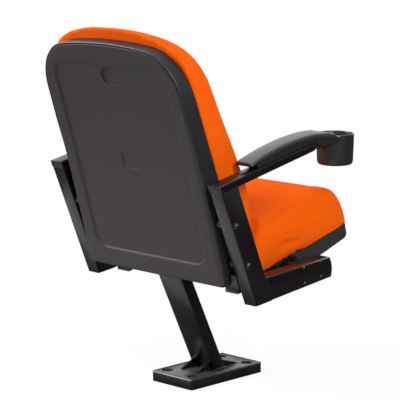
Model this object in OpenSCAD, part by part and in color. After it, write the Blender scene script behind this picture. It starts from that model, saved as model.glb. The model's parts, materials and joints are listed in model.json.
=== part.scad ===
// Tip up auditorium seat on one leaning column.
// Millimetres. +Z is up, the seat faces -Y, and the sitter's left is +X.
// The origin is the centre of the anchor holes, on the floor.
// Outlines drawn from the side are given as [y, z] points.
// Parts that come in pairs are drawn on the +X side and mirrored.

/* [Floor plate] */
// Width of the floor plate, side to side
plate_w = 145; // [135:1:170]
// Length of the floor plate, front to back
plate_l = 262; // [246:1:300]
// Height of the floor plate
plate_h = 28; // [24:1:36]
// Radius of the plate's upright corners
plate_corner_r = 8; // [5:1:12]
// Bevel round the plate's top edge
plate_bevel = 4; // [2:0.5:6]
// Width of the raised border round the plate's sunk top
plate_border = 8; // [7:0.5:9]
// Depth of the plate's sunk top
plate_sink = 1.5; // [1:0.5:3]
// Distance between anchor holes, side to side
anchor_dx = 92; // [88:1:96]
// Distance between anchor holes, front to back
anchor_dy = 198; // [180:1:204]
// Radius of an anchor hole
anchor_r = 6.5; // [5:0.5:8]
// Radius of the pocket round an anchor hole
pocket_r = 15; // [12:0.5:16]
// Depth of the pocket below the sunk top
pocket_depth = 5; // [3:0.5:8]

/* [Column and beam] */
// Width of the column, side to side
column_w = 80; // [70:1:90]
// Depth of the column, square to its faces
column_d = 36; // [32:1:40]
// Lean of the column, back from upright
column_lean = 25.8; // [24:0.1:27]
// Wall of the column and the beam
column_wall = 3; // [2:0.5:4]
// Depth of the cross beam, square to the posts
beam_d = 60; // [50:1:62]
// Height of the cross beam, along the posts
beam_h = 40; // [36:1:42]
// Distance of the beam's centre up the post from its foot
beam_at = 60.5; // [58:0.5:64]
// Thickness of a gusset between column and floor plate
gusset_t = 6; // [4:1:8]
// Length of a gusset along the floor plate
gusset_l = 58; // [40:1:64]
// Height of a gusset along the column
gusset_h = 24; // [16:1:40]
// Distance of a gusset from the centre plane
gusset_x = 27; // [22:1:28]

/* [Side frames] */
// Width of the seat over both side frames
frame_w = 600; // [596:1:640]
// Width of the posts and bars, side to side
post_w = 40; // [36:1:42]
// Depth of a post, square to its faces
post_d = 58; // [54:1:62]
// Lean of the posts, back from upright
post_lean = 22.6; // [21.5:0.1:23.5]
// Length of a post along its back face
post_len = 314; // [300:1:330]
// Place of the post's lower back corner, behind the origin
post_foot_y = 139; // [136:1:142]
// Height of the post's lower back corner
post_foot_z = 255; // [245:1:270]
// Wall of the posts and bars
frame_wall = 2.5; // [2:0.5:3]
// Slope of the seat bar's underside, up towards the front
seat_bar_slope = 6.5; // [5.5:0.1:7]
// Length of the seat bar along its underside
seat_bar_len = 217; // [210:1:225]
// Height of the seat bar where it meets the post
seat_bar_h_back = 64; // [60:1:66]
// Height of the seat bar at its front end
seat_bar_h_front = 53; // [50:1:56]
// Length of the front cap that stands out of the seat bar
cap_len = 7; // [4:1:10]
// Slope of the arm bar, up towards the front
arm_slope = 11.8; // [10.5:0.1:13]
// Length of the arm bar along its underside
arm_len = 339; // [320:1:345]
// Thickness of the arm bar
arm_t = 20; // [18:1:24]

/* [Arm pads and cup holders] */
// Width of the arm pad
pad_w = 60; // [52:1:64]
// Distance from the arm bar's back end to the arm pad's back end
pad_back = 106; // [100:1:125]
// Thickness of the arm pad's back end
pad_end_t = 12; // [9:1:15]
// Height of the pad's top above the arm bar, at the pad's back end
pad_rise_back = 25; // [22:1:28]
// Height of the pad's top above the arm bar, at the arm bar's front end
pad_rise_front = 27.5; // [24:0.5:30]
// How far the pad's top bows up between its ends
pad_bow = 9; // [5:0.5:10]
// Gap under the pad's sides, above the arm bar
pad_skirt_gap = 5; // [3:0.5:7]
// Width of the pad's foot, which sits on the arm bar
pad_foot_w = 34; // [28:1:36]
// Radius of the cup holder at its rim
cup_r = 47.5; // [45:0.5:49]
// Radius of the cup holder at its bottom
cup_bottom_r = 45; // [43:0.5:46]
// Depth of the cup holder outside
cup_h = 79; // [70:1:84]
// Wall of the cup holder
cup_wall = 4; // [3:0.5:5]
// Distance from the arm bar's front end to the cup holder's centre
cup_ahead = 98.5; // [94:0.5:104]
// Height of the cup's rim above the arm bar's lower front edge
cup_rim_up = 33; // [28:1:38]

/* [Back] */
// Gap between the shell and the post on each side
shell_gap = 21; // [18:1:28]
// Distance of the shell's lower back edge behind the post's lower back corner
shell_behind = 50; // [46:1:54]
// Height of the shell's lower edge above the post's lower back corner
shell_up = 43; // [39:1:47]
// Height of the shell in the middle
shell_h = 599; // [570:1:630]
// Lean of the shell's back face at its foot
shell_lean = 15.2; // [15:0.1:17]
// Radius of the bow up the shell's back face
shell_bow_r = 9000; // [7000:500:14000]
// Depth of the shell's side wall at its foot
shell_depth_foot = 85; // [80:1:90]
// Depth of the shell's side wall at its top
shell_depth_top = 40; // [34:1:46]
// Radius of the shell's top corners
shell_corner_r = 120; // [100:1:130]
// Radius of the shell's bottom corners
shell_foot_r = 12; // [8:1:20]
// Radius of the crown along the shell's top edge
shell_crown_r = 1190; // [1000:10:1600]
// Wall of the shell
shell_wall = 5; // [4:0.5:6]
// Margin beside the sunk panel in the shell's back
panel_side = 39; // [34:1:60]
// Margin under the sunk panel
panel_under = 45; // [37:1:60]
// Margin over the sunk panel
panel_over = 55; // [46:1:80]
// Radius of the sunk panel's corners
panel_corner_r = 42; // [30:1:60]
// Depth of the sunk panel
panel_sink = 1.5; // [1:0.5:2]
// Radius of the round recess near the top of the panel
disc_r = 30; // [24:1:32]
// Distance of the round recess below the panel's upper edge
disc_drop = 36; // [34:1:50]
// Width of the bare plaque recess
plaque_w = 58; // [50:1:64]
// Height of the bare plaque recess
plaque_h = 37; // [30:1:44]
// Height of the plaque's centre above the shell's foot
plaque_up = 296; // [260:1:320]
// Depth of the disc and plaque recesses below the panel
recess_sink = 1; // [0.5:0.5:1.5]
// Thickness of the back board
back_board_t = 10; // [8:1:11]
// Height of the back board's lower edge above the beam's top
back_board_up = 22; // [18:1:28]
// Distance of the back board's upper edge below the shell's top
back_board_drop = 31; // [27:1:60]
// Height of the back cushion's lower end above the back board's
back_pad_up = 46; // [44:1:52]
// Height of the back cushion's top above the shell's
back_pad_over = 26; // [16:1:30]
// Thickness of the back cushion at its lower end
back_pad_t_foot = 68; // [60:1:75]
// Thickness of the back cushion at the small of the back
back_pad_t_waist = 92; // [85:1:98]
// Thickness of the back cushion at the shoulders
back_pad_t_top = 69; // [60:1:76]
// Distance of the lower back bolt up the post
bolt_low_at = 108; // [104:1:112]
// Distance of the upper back bolt up the post
bolt_high_at = 219; // [205:1:224]
// Distance of the back bolts from the post's back face
bolt_in = 15; // [13:1:17]
// Radius of a back bolt's shank
bolt_r = 4; // [3:0.5:5]
// Radius of a back bolt's domed head
bolt_head_r = 8; // [7:0.5:10]
// Radius of the spacer between post and shell
spacer_r = 12; // [10:0.5:13]
// Thickness of the angles inside the shell
angle_t = 3; // [2:0.5:4]
// Width of the angles' flanges on the back board
angle_w = 28; // [24:1:30]
// Width of the angles' flanges along the shell's side walls
angle_reach = 42; // [40:1:46]

/* [Hinge] */
// Distance of the hinge plate's centre back from the seat bar's front end
hinge_back = 66; // [60:1:72]
// Distance of the hinge plate's centre up from the seat bar's underside
hinge_up = 30.5; // [29:0.5:32]
// Length of the hinge plate
hinge_l = 82; // [76:1:88]
// Height of the hinge plate
hinge_h = 52; // [48:1:54]
// Thickness of the hinge plate
hinge_t = 6; // [4:1:8]
// Distance between hinge screws, along the bar
hinge_dx = 62; // [58:1:66]
// Distance between hinge screws, across the bar
hinge_dz = 40; // [36:1:42]
// Height of the pivot above the hinge plate's centre
pivot_up = 12; // [10:0.5:13]
// Radius of the pivot pin
pin_r = 8; // [6:0.5:9]
// Radius of the boss that holds the pin
boss_r = 14; // [12:0.5:15]
// Outer radius of the pivot bush
bush_r = 11; // [10:0.5:12]

/* [Seat] */
// Tilt of the seat when it is down, front edge up
seat_tilt = 15; // [13:0.5:17]
// Gap between the seat cushion and the seat bar on each side
seat_gap = 25; // [24:1:30]
// Distance of the cushion's nose in front of the pivot
seat_nose = 223; // [205:1:228]
// Height of the cushion's underside above the pivot
seat_pad_low = 22.4; // [22:0.2:25]
// Height of the cushion's top above the pivot
seat_pad_high = 138; // [125:1:140]
// Radius over the top of the cushion's nose
nose_top_r = 50; // [40:1:55]
// Radius under the cushion's nose
nose_low_r = 22; // [15:1:28]
// Radius of the seat's front corners, seen from above
seat_corner_r = 20; // [15:1:40]
// Depth of the tray below the pivot, in front
tray_depth = 21.5; // [20:0.5:26]
// Depth of the tray below the pivot, behind
tray_depth_back = 12; // [11:0.5:14]
// How far the tray's front stands out past the cushion's nose
tray_ahead = 4; // [2:0.5:8]
// Distance of the tray's back end behind the pivot
tray_back = 158; // [154:1:159]
// Wall of the tray
tray_wall = 4; // [3:0.5:5]
// How much narrower the tray is behind the pivot, on each side
tray_step = 13; // [12:0.5:16]
// Radius under the tray's front edge
tray_nose_r = 20; // [14:1:24]
// Thickness of the seat board
seat_board_t = 15; // [12:1:16]
// Thickness of a seat arm
seat_arm_t = 8; // [6:0.5:8]
// Width of a seat stop arm
stop_w = 47; // [40:1:50]
// Place of the stop arm's back face, behind the origin
stop_y = 112; // [110:1:116]
// Height of the stop arm's underside at its back end
stop_z = 268; // [264:1:272]
// Thickness of a rubber stop buffer
buffer_t = 8; // [6:0.5:10]

/* [Fits] */
// Gap between fixed pieces that lie side by side
fit = 0.3; // [0.2:0.1:0.5]
// Radial clearance of the pivot pin in its bush
run_fit = 0.05; // [0.02:0.01:0.1]
// Gap between the swinging seat and what it passes
swing_gap = 5; // [4:0.5:8]
// Gap round the beam where it passes through the shell
beam_gap = 3; // [2:0.5:4]

/* [Hidden] */
$fn = 64;

// Colours
enamel = "#201c1e";
plastic = "#38383a";
upholstery = "#ff6a00";
plywood = "#b98f5e";
zinc = "#9a9da1";
rubber = "#141414";

// How far a cut reaches past the face it opens
past = 1;
// Steps along a curved outline
steps = 10;

// Directions in the side view
function along(lean) = [sin(lean), cos(lean)];
function across(lean) = [cos(lean), -sin(lean)];
function left_of(v) = [-v[1], v[0]];
function unit(v) = v / norm(v);
function cross2(a, b) = a[0] * b[1] - a[1] * b[0];
// The point where the line through p along d meets the line through q along e
function meet(p, d, q, e) = p + d * cross2(q - p, e) / cross2(d, e);
// The direction of a quad's edge i, and the quad with each edge moved in by its own distance
function edge(q, i) = unit(q[(i + 1) % 4] - q[i]);
function inset(q, d) = [
    for (i = [0 : 3])
        let (j = (i + 3) % 4)
        meet(q[j] + d[j] * left_of(edge(q, j)), edge(q, j), q[i] + d[i] * left_of(edge(q, i)), edge(q, i))
];
function arc(c, r, a0, a1) = [
    for (i = [0 : steps])
        let (a = a0 + (a1 - a0) * i / steps)
        c + r * [cos(a), sin(a)]
];

// Inner face of the side frames
frame_x = frame_w / 2 - post_w;
post_mid_x = frame_x + post_w / 2;

// Post: its corners from the lower front one, round the back
seat_bar_dir = [-cos(seat_bar_slope), sin(seat_bar_slope)];
arm_dir = [-cos(arm_slope), sin(arm_slope)];
arm_up = [sin(arm_slope), cos(arm_slope)];
post_foot = [post_foot_y, post_foot_z];
post_top = post_foot + post_len * along(post_lean);
post_front = post_foot - post_d * across(post_lean);
post_quad = [
    meet(post_front, along(post_lean), post_foot, seat_bar_dir),
    post_foot,
    post_top,
    meet(post_front, along(post_lean), post_top, arm_dir)
];
post_mid_foot = post_foot - post_d / 2 * across(post_lean);

// Seat bar
seat_bar_front = post_quad[0] + seat_bar_len * seat_bar_dir;
seat_bar_up = [sin(seat_bar_slope), cos(seat_bar_slope)];
seat_bar_quad = [
    seat_bar_front,
    post_quad[0],
    post_quad[0] + seat_bar_h_back * along(post_lean),
    seat_bar_front + seat_bar_h_front * seat_bar_up
];

// Arm bar
arm_front = post_top + arm_len * arm_dir;
arm_quad = [
    arm_front,
    post_top,
    meet(post_top + arm_t * arm_up, arm_dir, post_top, along(post_lean)),
    arm_front + arm_t * arm_up
];

// Cross beam, square to the posts and in the middle of their depth
beam_mid = post_mid_foot + beam_at * along(post_lean);
function leaning_quad(c, d, h) = [
    c - d / 2 * across(post_lean) - h / 2 * along(post_lean),
    c + d / 2 * across(post_lean) - h / 2 * along(post_lean),
    c + d / 2 * across(post_lean) + h / 2 * along(post_lean),
    c - d / 2 * across(post_lean) + h / 2 * along(post_lean)
];
beam_quad = leaning_quad(beam_mid, beam_d, beam_h);

// Column, from the plate's sunk top to the beam's underside
column_foot_z = plate_h - plate_sink;
column_top = beam_mid - beam_h / 2 * along(post_lean);
function column_face(off, p, d) = meet(column_top + off * across(column_lean), along(column_lean), p, d);
column_quad = [
    column_face(-column_d / 2, [0, column_foot_z], [1, 0]),
    column_face(column_d / 2, [0, column_foot_z], [1, 0]),
    column_face(column_d / 2, column_top, across(post_lean)),
    column_face(-column_d / 2, column_top, across(post_lean))
];

// Back shell: its back face and the line where it parts from the cushion, by height
shell_half_w = frame_x - shell_gap;
shell_foot_y = post_foot_y + shell_behind;
shell_foot_z = post_foot_z + shell_up;
shell_top_z = shell_foot_z + shell_h;
function shell_back(z) =
    shell_foot_y + shell_bow_r * (cos(shell_lean) - cos(asin(sin(shell_lean) + (z - shell_foot_z) / shell_bow_r)));
part_foot = [shell_foot_y - shell_depth_foot, shell_foot_z];
part_top = [shell_back(shell_top_z) - shell_depth_top, shell_top_z];
part_lean = atan((part_top[0] - part_foot[0]) / (part_top[1] - part_foot[1]));
function parting(z) = part_foot[0] + (z - shell_foot_z) * tan(part_lean);
board_depth = back_board_t / cos(part_lean);
shell_in_half_w = shell_half_w - shell_wall;
panel_half_w = shell_half_w - panel_side;
panel_foot_z = shell_foot_z + panel_under;
panel_top_z = shell_top_z - panel_over;
disc_z = panel_top_z - disc_drop;
plaque_z = shell_foot_z + plaque_up;
back_board_foot_z = beam_quad[3][1] + back_board_up;
back_board_top_z = shell_top_z - back_board_drop;
back_pad_foot_z = back_board_foot_z + back_pad_up;
back_pad_top_z = shell_top_z + back_pad_over;

// Back cushion: thickness in front of the parting line, by share of its height.
// The belly runs from the waist's thickness to the shoulders', and the crown thins out above.
back_pad_rise = back_pad_top_z - back_pad_foot_z;
back_pad_belly = [[0.15, 0.65], [0.24, 1], [0.36, 0.7], [0.457, 0.48], [0.557, 0.26], [0.656, 0.13], [0.755, 0]];
back_pad_crown = [[0.855, 0.9], [0.915, 0.78], [0.954, 0.64], [0.978, 0.48], [1, 0.17]];
back_pad_profile = concat(
    [[0, back_pad_t_foot]],
    [for (p = back_pad_belly) [p[0], back_pad_t_top + p[1] * (back_pad_t_waist - back_pad_t_top)]],
    [for (p = back_pad_crown) [p[0], p[1] * back_pad_t_top]]
);

// Back bolts
bolt_foot = post_foot - bolt_in * across(post_lean);
bolt_points = [bolt_foot + bolt_low_at * along(post_lean), bolt_foot + bolt_high_at * along(post_lean)];
bolt_clear_r = bolt_r + fit;
bolt_head_h = 5;
head_over = 3;
bolt_nut_r = bolt_r + head_over;
nut_h = 6;
angle_margin = 25;
angle_edge = 5;
angle_foot_z = bolt_points[0][1] - bolt_nut_r - angle_edge;
angle_top_z = bolt_points[1][1] + angle_margin;
board_screw_z = [bolt_points[0][1] + angle_margin, bolt_points[1][1] + angle_margin / 2];
board_screw_r = 2.5;
board_screw_tip = 2;
board_screw_head_r = 5;
board_screw_head_h = 2.5;
board_screw_x = shell_in_half_w - angle_w + board_screw_head_r + fit;

// Hinge
hinge_mid = seat_bar_front - hinge_back * seat_bar_dir + hinge_up * seat_bar_up;
hinge_screw_r = 3;
hinge_screw_head_r = 5;
hinge_screw_head_h = 3;
hinge_nut_r = 5.5;
pivot = hinge_mid + [0, pivot_up];
hinge_points = [for (i = [-1, 1], k = [-1, 1]) [i * hinge_dx / 2, k * hinge_dz / 2]];
seat_half_w = frame_x - seat_gap;
tray_back_half_w = seat_half_w - tray_step;
seat_arm_x = tray_back_half_w + seat_arm_t;
bush_flange_t = 1.7;
boss_x = seat_arm_x + bush_flange_t + fit;
pin_head_t = 3.5;
pin_head_r = pin_r + head_over;
pin_head_gap = 3;
hub_wall = 4;
hub_r = bush_r + hub_wall;
hub_gap = 3.5;

// Seat, drawn about the pivot with the seat level: y runs back and z up
column_reach = cross2(along(column_lean), pivot - column_quad[0]);
seat_back_r = column_reach - swing_gap;
board_top = seat_pad_low - fit;
board_low = board_top - seat_board_t;
board_back = tray_back - tray_wall - fit;
board_half_w = tray_back_half_w - tray_wall - fit;
board_nose = seat_nose - tray_wall;
function to_seat(p) =
    let (d = p - pivot)
    [d[0] * cos(seat_tilt) - d[1] * sin(seat_tilt), d[0] * sin(seat_tilt) + d[1] * cos(seat_tilt)];
seat_arm_low = fit - tray_depth_back;
seat_arm_high = board_top - seat_board_t / 4;
seat_arm_len = board_back - swing_gap;
seat_arm_screw_y = [0.35 * seat_arm_len, 0.85 * seat_arm_len];
seat_arm_screw_r = 2.5;
seat_arm_screw_head_h = 3;
seat_arm_screw_in = 20;

// Seat stop: a buffer under the front edge of the cross beam
stop_x = tray_back_half_w - tray_wall - fit - stop_w;
function under_beam(gap) = beam_quad[0] - gap * along(post_lean);
buffer_low = under_beam(fit + buffer_t);
stop_corner = to_seat([stop_y, stop_z]);
stop_top_front = to_seat(buffer_low);
stop_top_back = to_seat(meet(buffer_low, across(post_lean), [stop_y, stop_z], [0, 1]));
buffer_d = norm(stop_top_back - stop_top_front);
buffer_edge = 4;
buffer_w = stop_w - 2 * buffer_edge;
stop_start = 70;
stop_edge_r = 8;
stop_screw_y = [90, 140];
stop_screw_r = 3;

// Tray screws, each in a boss of the tray
tray_screw_points = [[150, -150], [150, -60], [120, 120]];
tray_boss_r = 8;
tray_screw_r = 2;
tray_screw_head_r = 4.5;
tray_screw_head_h = 2.5;
tray_screw_short = 3;

// Arm pad: heights above the arm bar's underside line, by distance forward of its back end
pad_bed = arm_t;
pad_low = pad_bed + pad_skirt_gap;
pad_under = 24;
pad_slope_l = 8;
pad_foot_start = pad_back + pad_under + pad_slope_l;
pad_joint = 2;
pad_neck_l = 15;
pad_rim_t = 12;
pad_screw_back = 15;
pad_screw_front = 50;
pad_screw_at = [pad_foot_start + pad_screw_back, arm_len - pad_screw_front];
pad_screw_r = 3;
pad_screw_head_h = 3;
pad_screw_in = 11;
function arm_point(s, h) = post_top + s * arm_dir + h * arm_up;
function pad_top(s) =
    let (u = (s - pad_back) / (arm_len - pad_back))
    pad_bed + pad_rise_back + (pad_rise_front - pad_rise_back) * u + 4 * pad_bow * u * (1 - u);
cup_y = arm_front[0] - cup_ahead;
cup_top_z = arm_front[1] + cup_rim_up;
cup_bottom_z = cup_top_z - cup_h;

// Draws a side outline from x0 to x1
module side(x0, x1) {
    translate([x0, 0, 0])
        rotate([90, 0, 90])
            linear_extrude(x1 - x0)
                children();
}

// Draws a front outline from y0 to y1
module front(y0, y1) {
    translate([0, y1, 0])
        rotate([90, 0, 0])
            linear_extrude(y1 - y0)
                children();
}

// A cylinder along X from x0 to x1 through the side point p
module rod(p, r, x0, x1) {
    translate([x0, p[0], p[1]])
        rotate([0, 90, 0])
            cylinder(r = r, h = x1 - x0);
}

// A domed head that starts at x and points outwards
module dome(p, r, h, x) {
    ball_r = (r * r + h * h) / (2 * h);
    intersection() {
        rod(p, r, x, x + h);
        translate([x + h - ball_r, p[0], p[1]])
            sphere(r = ball_r, $fn = 96);
    }
}

module mirrored() {
    mirror([1, 0, 0])
        children();
}

module both() {
    children();
    mirrored()
        children();
}

// Places what is drawn about the pivot, level, at the seat's own tilt
module at_seat() {
    translate([0, pivot[0], pivot[1]])
        rotate([-seat_tilt, 0, 0])
            children();
}

// Places what is drawn square about the hinge plate's centre
module at_hinge() {
    translate([0, hinge_mid[0], hinge_mid[1]])
        rotate([-seat_bar_slope, 0, 0])
            children();
}

// A box tube seen from the side as quad q, with its walls at edges 1 and 3 or 0 and 2
module tube(q, x0, x1, walls, wall) {
    difference() {
        side(x0, x1)
            polygon(q);
        side(x0 + wall, x1 - wall)
            polygon(inset(q, walls));
    }
}

// An upright outline with its own radii above and below
module tall_outline(half_w, z0, z1, r_top, r_foot) {
    translate([-half_w, z0 + r_foot])
        square([2 * half_w, z1 - r_top - z0 - r_foot]);
    translate([-half_w + r_foot, z0])
        square([2 * (half_w - r_foot), z1 - z0 - r_top]);
    translate([-half_w + r_top, z0 + r_foot])
        square([2 * (half_w - r_top), z1 - z0 - r_foot]);
    for (s = [-1, 1]) {
        translate([s * (half_w - r_foot), z0 + r_foot])
            circle(r = r_foot);
        translate([s * (half_w - r_top), z1 - r_top])
            circle(r = r_top, $fn = 128);
    }
}

// The same outline under a crowned top
module crowned_outline(half_w, z0, z1, r_top, r_foot) {
    intersection() {
        tall_outline(half_w, z0, z1, r_top, r_foot);
        translate([0, z1 - shell_crown_r])
            circle(r = shell_crown_r, $fn = 720);
    }
}

module floor_plate() {
    color(enamel)
        difference() {
            intersection() {
                linear_extrude(plate_h)
                    plan_outline(plate_w / 2, -plate_l / 2, plate_l / 2, plate_corner_r, plate_corner_r);
                front(-plate_l, plate_l)
                    bevelled(plate_w, plate_h, plate_bevel);
                side(-plate_w, plate_w)
                    bevelled(plate_l, plate_h, plate_bevel);
            }
            translate([0, 0, column_foot_z])
                linear_extrude(plate_sink + past)
                    plan_outline(
                        plate_w / 2 - plate_border, -plate_l / 2 + plate_border,
                        plate_l / 2 - plate_border, plate_corner_r, plate_corner_r
                    );
            for (i = [-1, 1], k = [-1, 1])
                translate([i * anchor_dx / 2, k * anchor_dy / 2, 0]) {
                    translate([0, 0, -past])
                        cylinder(r = anchor_r, h = plate_h);
                    translate([0, 0, column_foot_z - pocket_depth])
                        cylinder(r = pocket_r, h = plate_h);
                }
        }
}

// A block outline with bevelled upper corners
module bevelled(w, h, b) {
    polygon([
        [-w / 2, 0], [w / 2, 0], [w / 2, h - b], [w / 2 - b, h],
        [-w / 2 + b, h], [-w / 2, h - b]
    ]);
}

// An outline seen from above, with its own radii in front and behind
module plan_outline(half_w, y0, y1, r_front, r_back) {
    translate([-half_w, y0 + r_front])
        square([2 * half_w, y1 - y0 - r_front - r_back]);
    translate([-half_w + r_front, y0])
        square([2 * (half_w - r_front), y1 - y0 - r_back]);
    translate([-half_w + r_back, y0 + r_front])
        square([2 * (half_w - r_back), y1 - y0 - r_front]);
    for (s = [-1, 1]) {
        translate([s * (half_w - r_front), y0 + r_front])
            circle(r = r_front);
        translate([s * (half_w - r_back), y1 - r_back])
            circle(r = r_back);
    }
}

module gussets(corner, way) {
    color(enamel)
        both()
            side(gusset_x - gusset_t / 2, gusset_x + gusset_t / 2)
                polygon([corner, corner + [way * gusset_l, 0], corner + gusset_h * along(column_lean)]);
}

module column() {
    color(enamel)
        tube(column_quad, -column_w / 2, column_w / 2, [-past, column_wall, -past, column_wall], column_wall);
}

module cross_beam() {
    color(enamel)
        difference() {
            side(-frame_x, frame_x)
                polygon(beam_quad);
            side(-frame_x - past, frame_x + past)
                polygon(inset(beam_quad, [for (i = [0 : 3]) column_wall]));
        }
}

module post() {
    color(enamel)
        difference() {
            tube(post_quad, frame_x, frame_x + post_w, [-past, frame_wall, -past, frame_wall], frame_wall);
            for (p = bolt_points)
                rod(p, bolt_clear_r, frame_x - past, frame_x + post_w + past);
        }
}

module post_plugs() {
    plug_h = 12;
    color(plastic)
        both()
            side(frame_x + frame_wall + fit, frame_x + post_w - frame_wall - fit)
                polygon(inset(
                    [post_quad[0], post_quad[1],
                     post_quad[1] + plug_h * along(post_lean), post_quad[0] + plug_h * along(post_lean)],
                    [0, frame_wall + fit, 0, frame_wall + fit]
                ));
}

module seat_bar() {
    color(enamel)
        difference() {
            tube(seat_bar_quad, frame_x, frame_x + post_w, [frame_wall, -past, frame_wall, -past], frame_wall);
            at_hinge()
                for (p = hinge_points)
                    rod(p, hinge_screw_r + fit, frame_x - past, frame_x + post_w + past);
        }
}

// The cap's face is bowed, and its tongue goes into the bar
module seat_bar_cap() {
    face = seat_bar_quad[3] - seat_bar_quad[0];
    bow_r = (face * face / 4 + cap_len * cap_len) / (2 * cap_len);
    mid = (seat_bar_quad[0] + seat_bar_quad[3]) / 2;
    tongue = 15;
    color(plastic) {
        side(frame_x, frame_x + post_w)
            intersection() {
                polygon([
                    seat_bar_quad[0], seat_bar_quad[3],
                    seat_bar_quad[3] + cap_len * seat_bar_dir, seat_bar_quad[0] + cap_len * seat_bar_dir
                ]);
                translate(mid + (cap_len - bow_r) * seat_bar_dir)
                    circle(r = bow_r, $fn = 180);
            }
        side(frame_x + frame_wall + fit, frame_x + post_w - frame_wall - fit)
            polygon(inset(
                [seat_bar_quad[0], seat_bar_quad[0] - tongue * seat_bar_dir,
                 seat_bar_quad[3] - tongue * seat_bar_dir, seat_bar_quad[3]],
                [frame_wall + fit, 0, frame_wall + fit, -past]
            ));
    }
}

module arm_bar() {
    color(enamel)
        difference() {
            tube(arm_quad, frame_x, frame_x + post_w, [frame_wall, -past, frame_wall, -past], frame_wall);
            pad_screw_axes(pad_screw_r + fit, -past, arm_t + past);
        }
}

module arm_bar_plugs() {
    plug_l = 10;
    front_plug = [arm_quad[0], arm_quad[0] - plug_l * arm_dir, arm_quad[3] - plug_l * arm_dir, arm_quad[3]];
    back_plug = [arm_quad[1] + plug_l * arm_dir, arm_quad[1], arm_quad[2], arm_quad[2] + plug_l * arm_dir];
    color(plastic)
        both()
            for (q = [front_plug, back_plug])
                side(frame_x + frame_wall + fit, frame_x + post_w - frame_wall - fit)
                    polygon(inset(q, [frame_wall + fit, 0, frame_wall + fit, 0]));
}

// Cylinders square to the arm bar, from h0 to h1 above its underside
module pad_screw_axes(r, h0, h1) {
    for (s = pad_screw_at)
        translate([post_mid_x, arm_point(s, h0)[0], arm_point(s, h0)[1]])
            rotate([-arm_slope, 0, 0])
                cylinder(r = r, h = h1 - h0);
}

module arm_pad() {
    top = [for (i = [0 : steps]) let (s = pad_back + (arm_len - pad_back) * i / steps) arm_point(s, pad_top(s))];
    cup_edge = [cup_y + sqrt(cup_r * cup_r - pad_w * pad_w / 4), cup_top_z];
    body = concat(top, [
        [cup_y + cup_r + pad_neck_l, top[steps][1]],
        cup_edge,
        cup_edge - [0, pad_rim_t],
        arm_point(arm_len, pad_low),
        arm_point(pad_foot_start, pad_low),
        arm_point(pad_back + pad_under, pad_top(pad_back) - pad_end_t),
        arm_point(pad_back, pad_top(pad_back) - pad_end_t)
    ]);
    foot = [
        arm_point(arm_len, pad_bed), arm_point(pad_foot_start, pad_bed),
        arm_point(pad_foot_start, pad_low + pad_joint), arm_point(arm_len, pad_low + pad_joint)
    ];
    color(plastic)
        difference() {
            union() {
                side(post_mid_x - pad_w / 2, post_mid_x + pad_w / 2)
                    polygon(body);
                side(post_mid_x - pad_foot_w / 2, post_mid_x + pad_foot_w / 2)
                    polygon(foot);
                translate([post_mid_x, cup_y, cup_bottom_z])
                    cylinder(r1 = cup_bottom_r, r2 = cup_r, h = cup_h, $fn = 96);
            }
            translate([post_mid_x, cup_y, cup_bottom_z + cup_wall])
                cylinder(r1 = cup_bottom_r - cup_wall, r2 = cup_r - cup_wall, h = cup_h - cup_wall, $fn = 96);
            translate([post_mid_x, cup_y, cup_top_z - past / 100])
                cylinder(r = cup_r - cup_wall, h = cup_h, $fn = 96);
            pad_screw_axes(pad_screw_r + run_fit, arm_t - past, arm_t + pad_screw_in + fit);
        }
}

module pad_screws() {
    color(zinc)
        both() {
            pad_screw_axes(pad_screw_r, -past, arm_t + pad_screw_in);
            pad_screw_axes(2 * pad_screw_r, -pad_screw_head_h, 0);
        }
}

// The shell's side outline, moved in by its wall where it is hollow
module shell_side(front_off, back_off) {
    rise = shell_top_z - shell_foot_z + 2 * past;
    polygon(concat(
        [for (i = [0 : steps]) let (z = shell_foot_z - past + rise * i / steps) [shell_back(z) - back_off, z]],
        [[parting(shell_top_z + past) - front_off, shell_top_z + past]],
        [[parting(shell_foot_z - past) - front_off, shell_foot_z - past]]
    ));
}

// A recess of depth d in the shell's back, to the front outline given
module shell_recess(d, reach) {
    rise = shell_top_z - shell_foot_z;
    intersection() {
        front(0, 2 * shell_top_z)
            children();
        side(-reach, reach)
            polygon(concat(
                [for (i = [0 : steps]) let (z = shell_foot_z + rise * i / steps) [shell_back(z) - d, z]],
                [[shell_back(shell_top_z) + shell_wall, shell_top_z]],
                [[shell_back(shell_top_z) + shell_wall, shell_foot_z]]
            ));
    }
}

// What the shell leaves free for the beam, and for lifting the back off it
module beam_way() {
    reach = 200;
    corner = beam_quad[2] + beam_gap * (across(post_lean) + along(post_lean));
    side(-frame_x, frame_x)
        polygon([
            corner, corner - reach * across(post_lean),
            corner - reach * across(post_lean) - reach * along(post_lean),
            corner - reach * along(post_lean)
        ]);
}

module back_shell() {
    color(plastic)
        difference() {
            intersection() {
                front(0, 2 * shell_foot_z)
                    crowned_outline(shell_half_w, shell_foot_z, shell_top_z, shell_corner_r, shell_foot_r);
                side(-shell_half_w, shell_half_w)
                    shell_side(0, 0);
            }
            intersection() {
                front(0, 2 * shell_foot_z)
                    crowned_outline(
                        shell_in_half_w, shell_foot_z + shell_wall, shell_top_z - shell_wall,
                        shell_corner_r - shell_wall, shell_foot_r - shell_wall
                    );
                side(-shell_half_w, shell_half_w)
                    shell_side(past, shell_wall / cos(shell_lean));
            }
            shell_recess(panel_sink, panel_half_w + past)
                tall_outline(panel_half_w, panel_foot_z, panel_top_z, panel_corner_r, panel_corner_r);
            shell_recess(panel_sink + recess_sink, plaque_w)
                translate([-plaque_w / 2, plaque_z - plaque_h / 2])
                    square([plaque_w, plaque_h]);
            shell_recess(panel_sink + recess_sink, 2 * disc_r)
                translate([0, disc_z])
                    circle(r = disc_r);
            beam_way();
            for (p = bolt_points)
                rod(p, bolt_clear_r, -shell_half_w - past, shell_half_w + past);
        }
}

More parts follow.
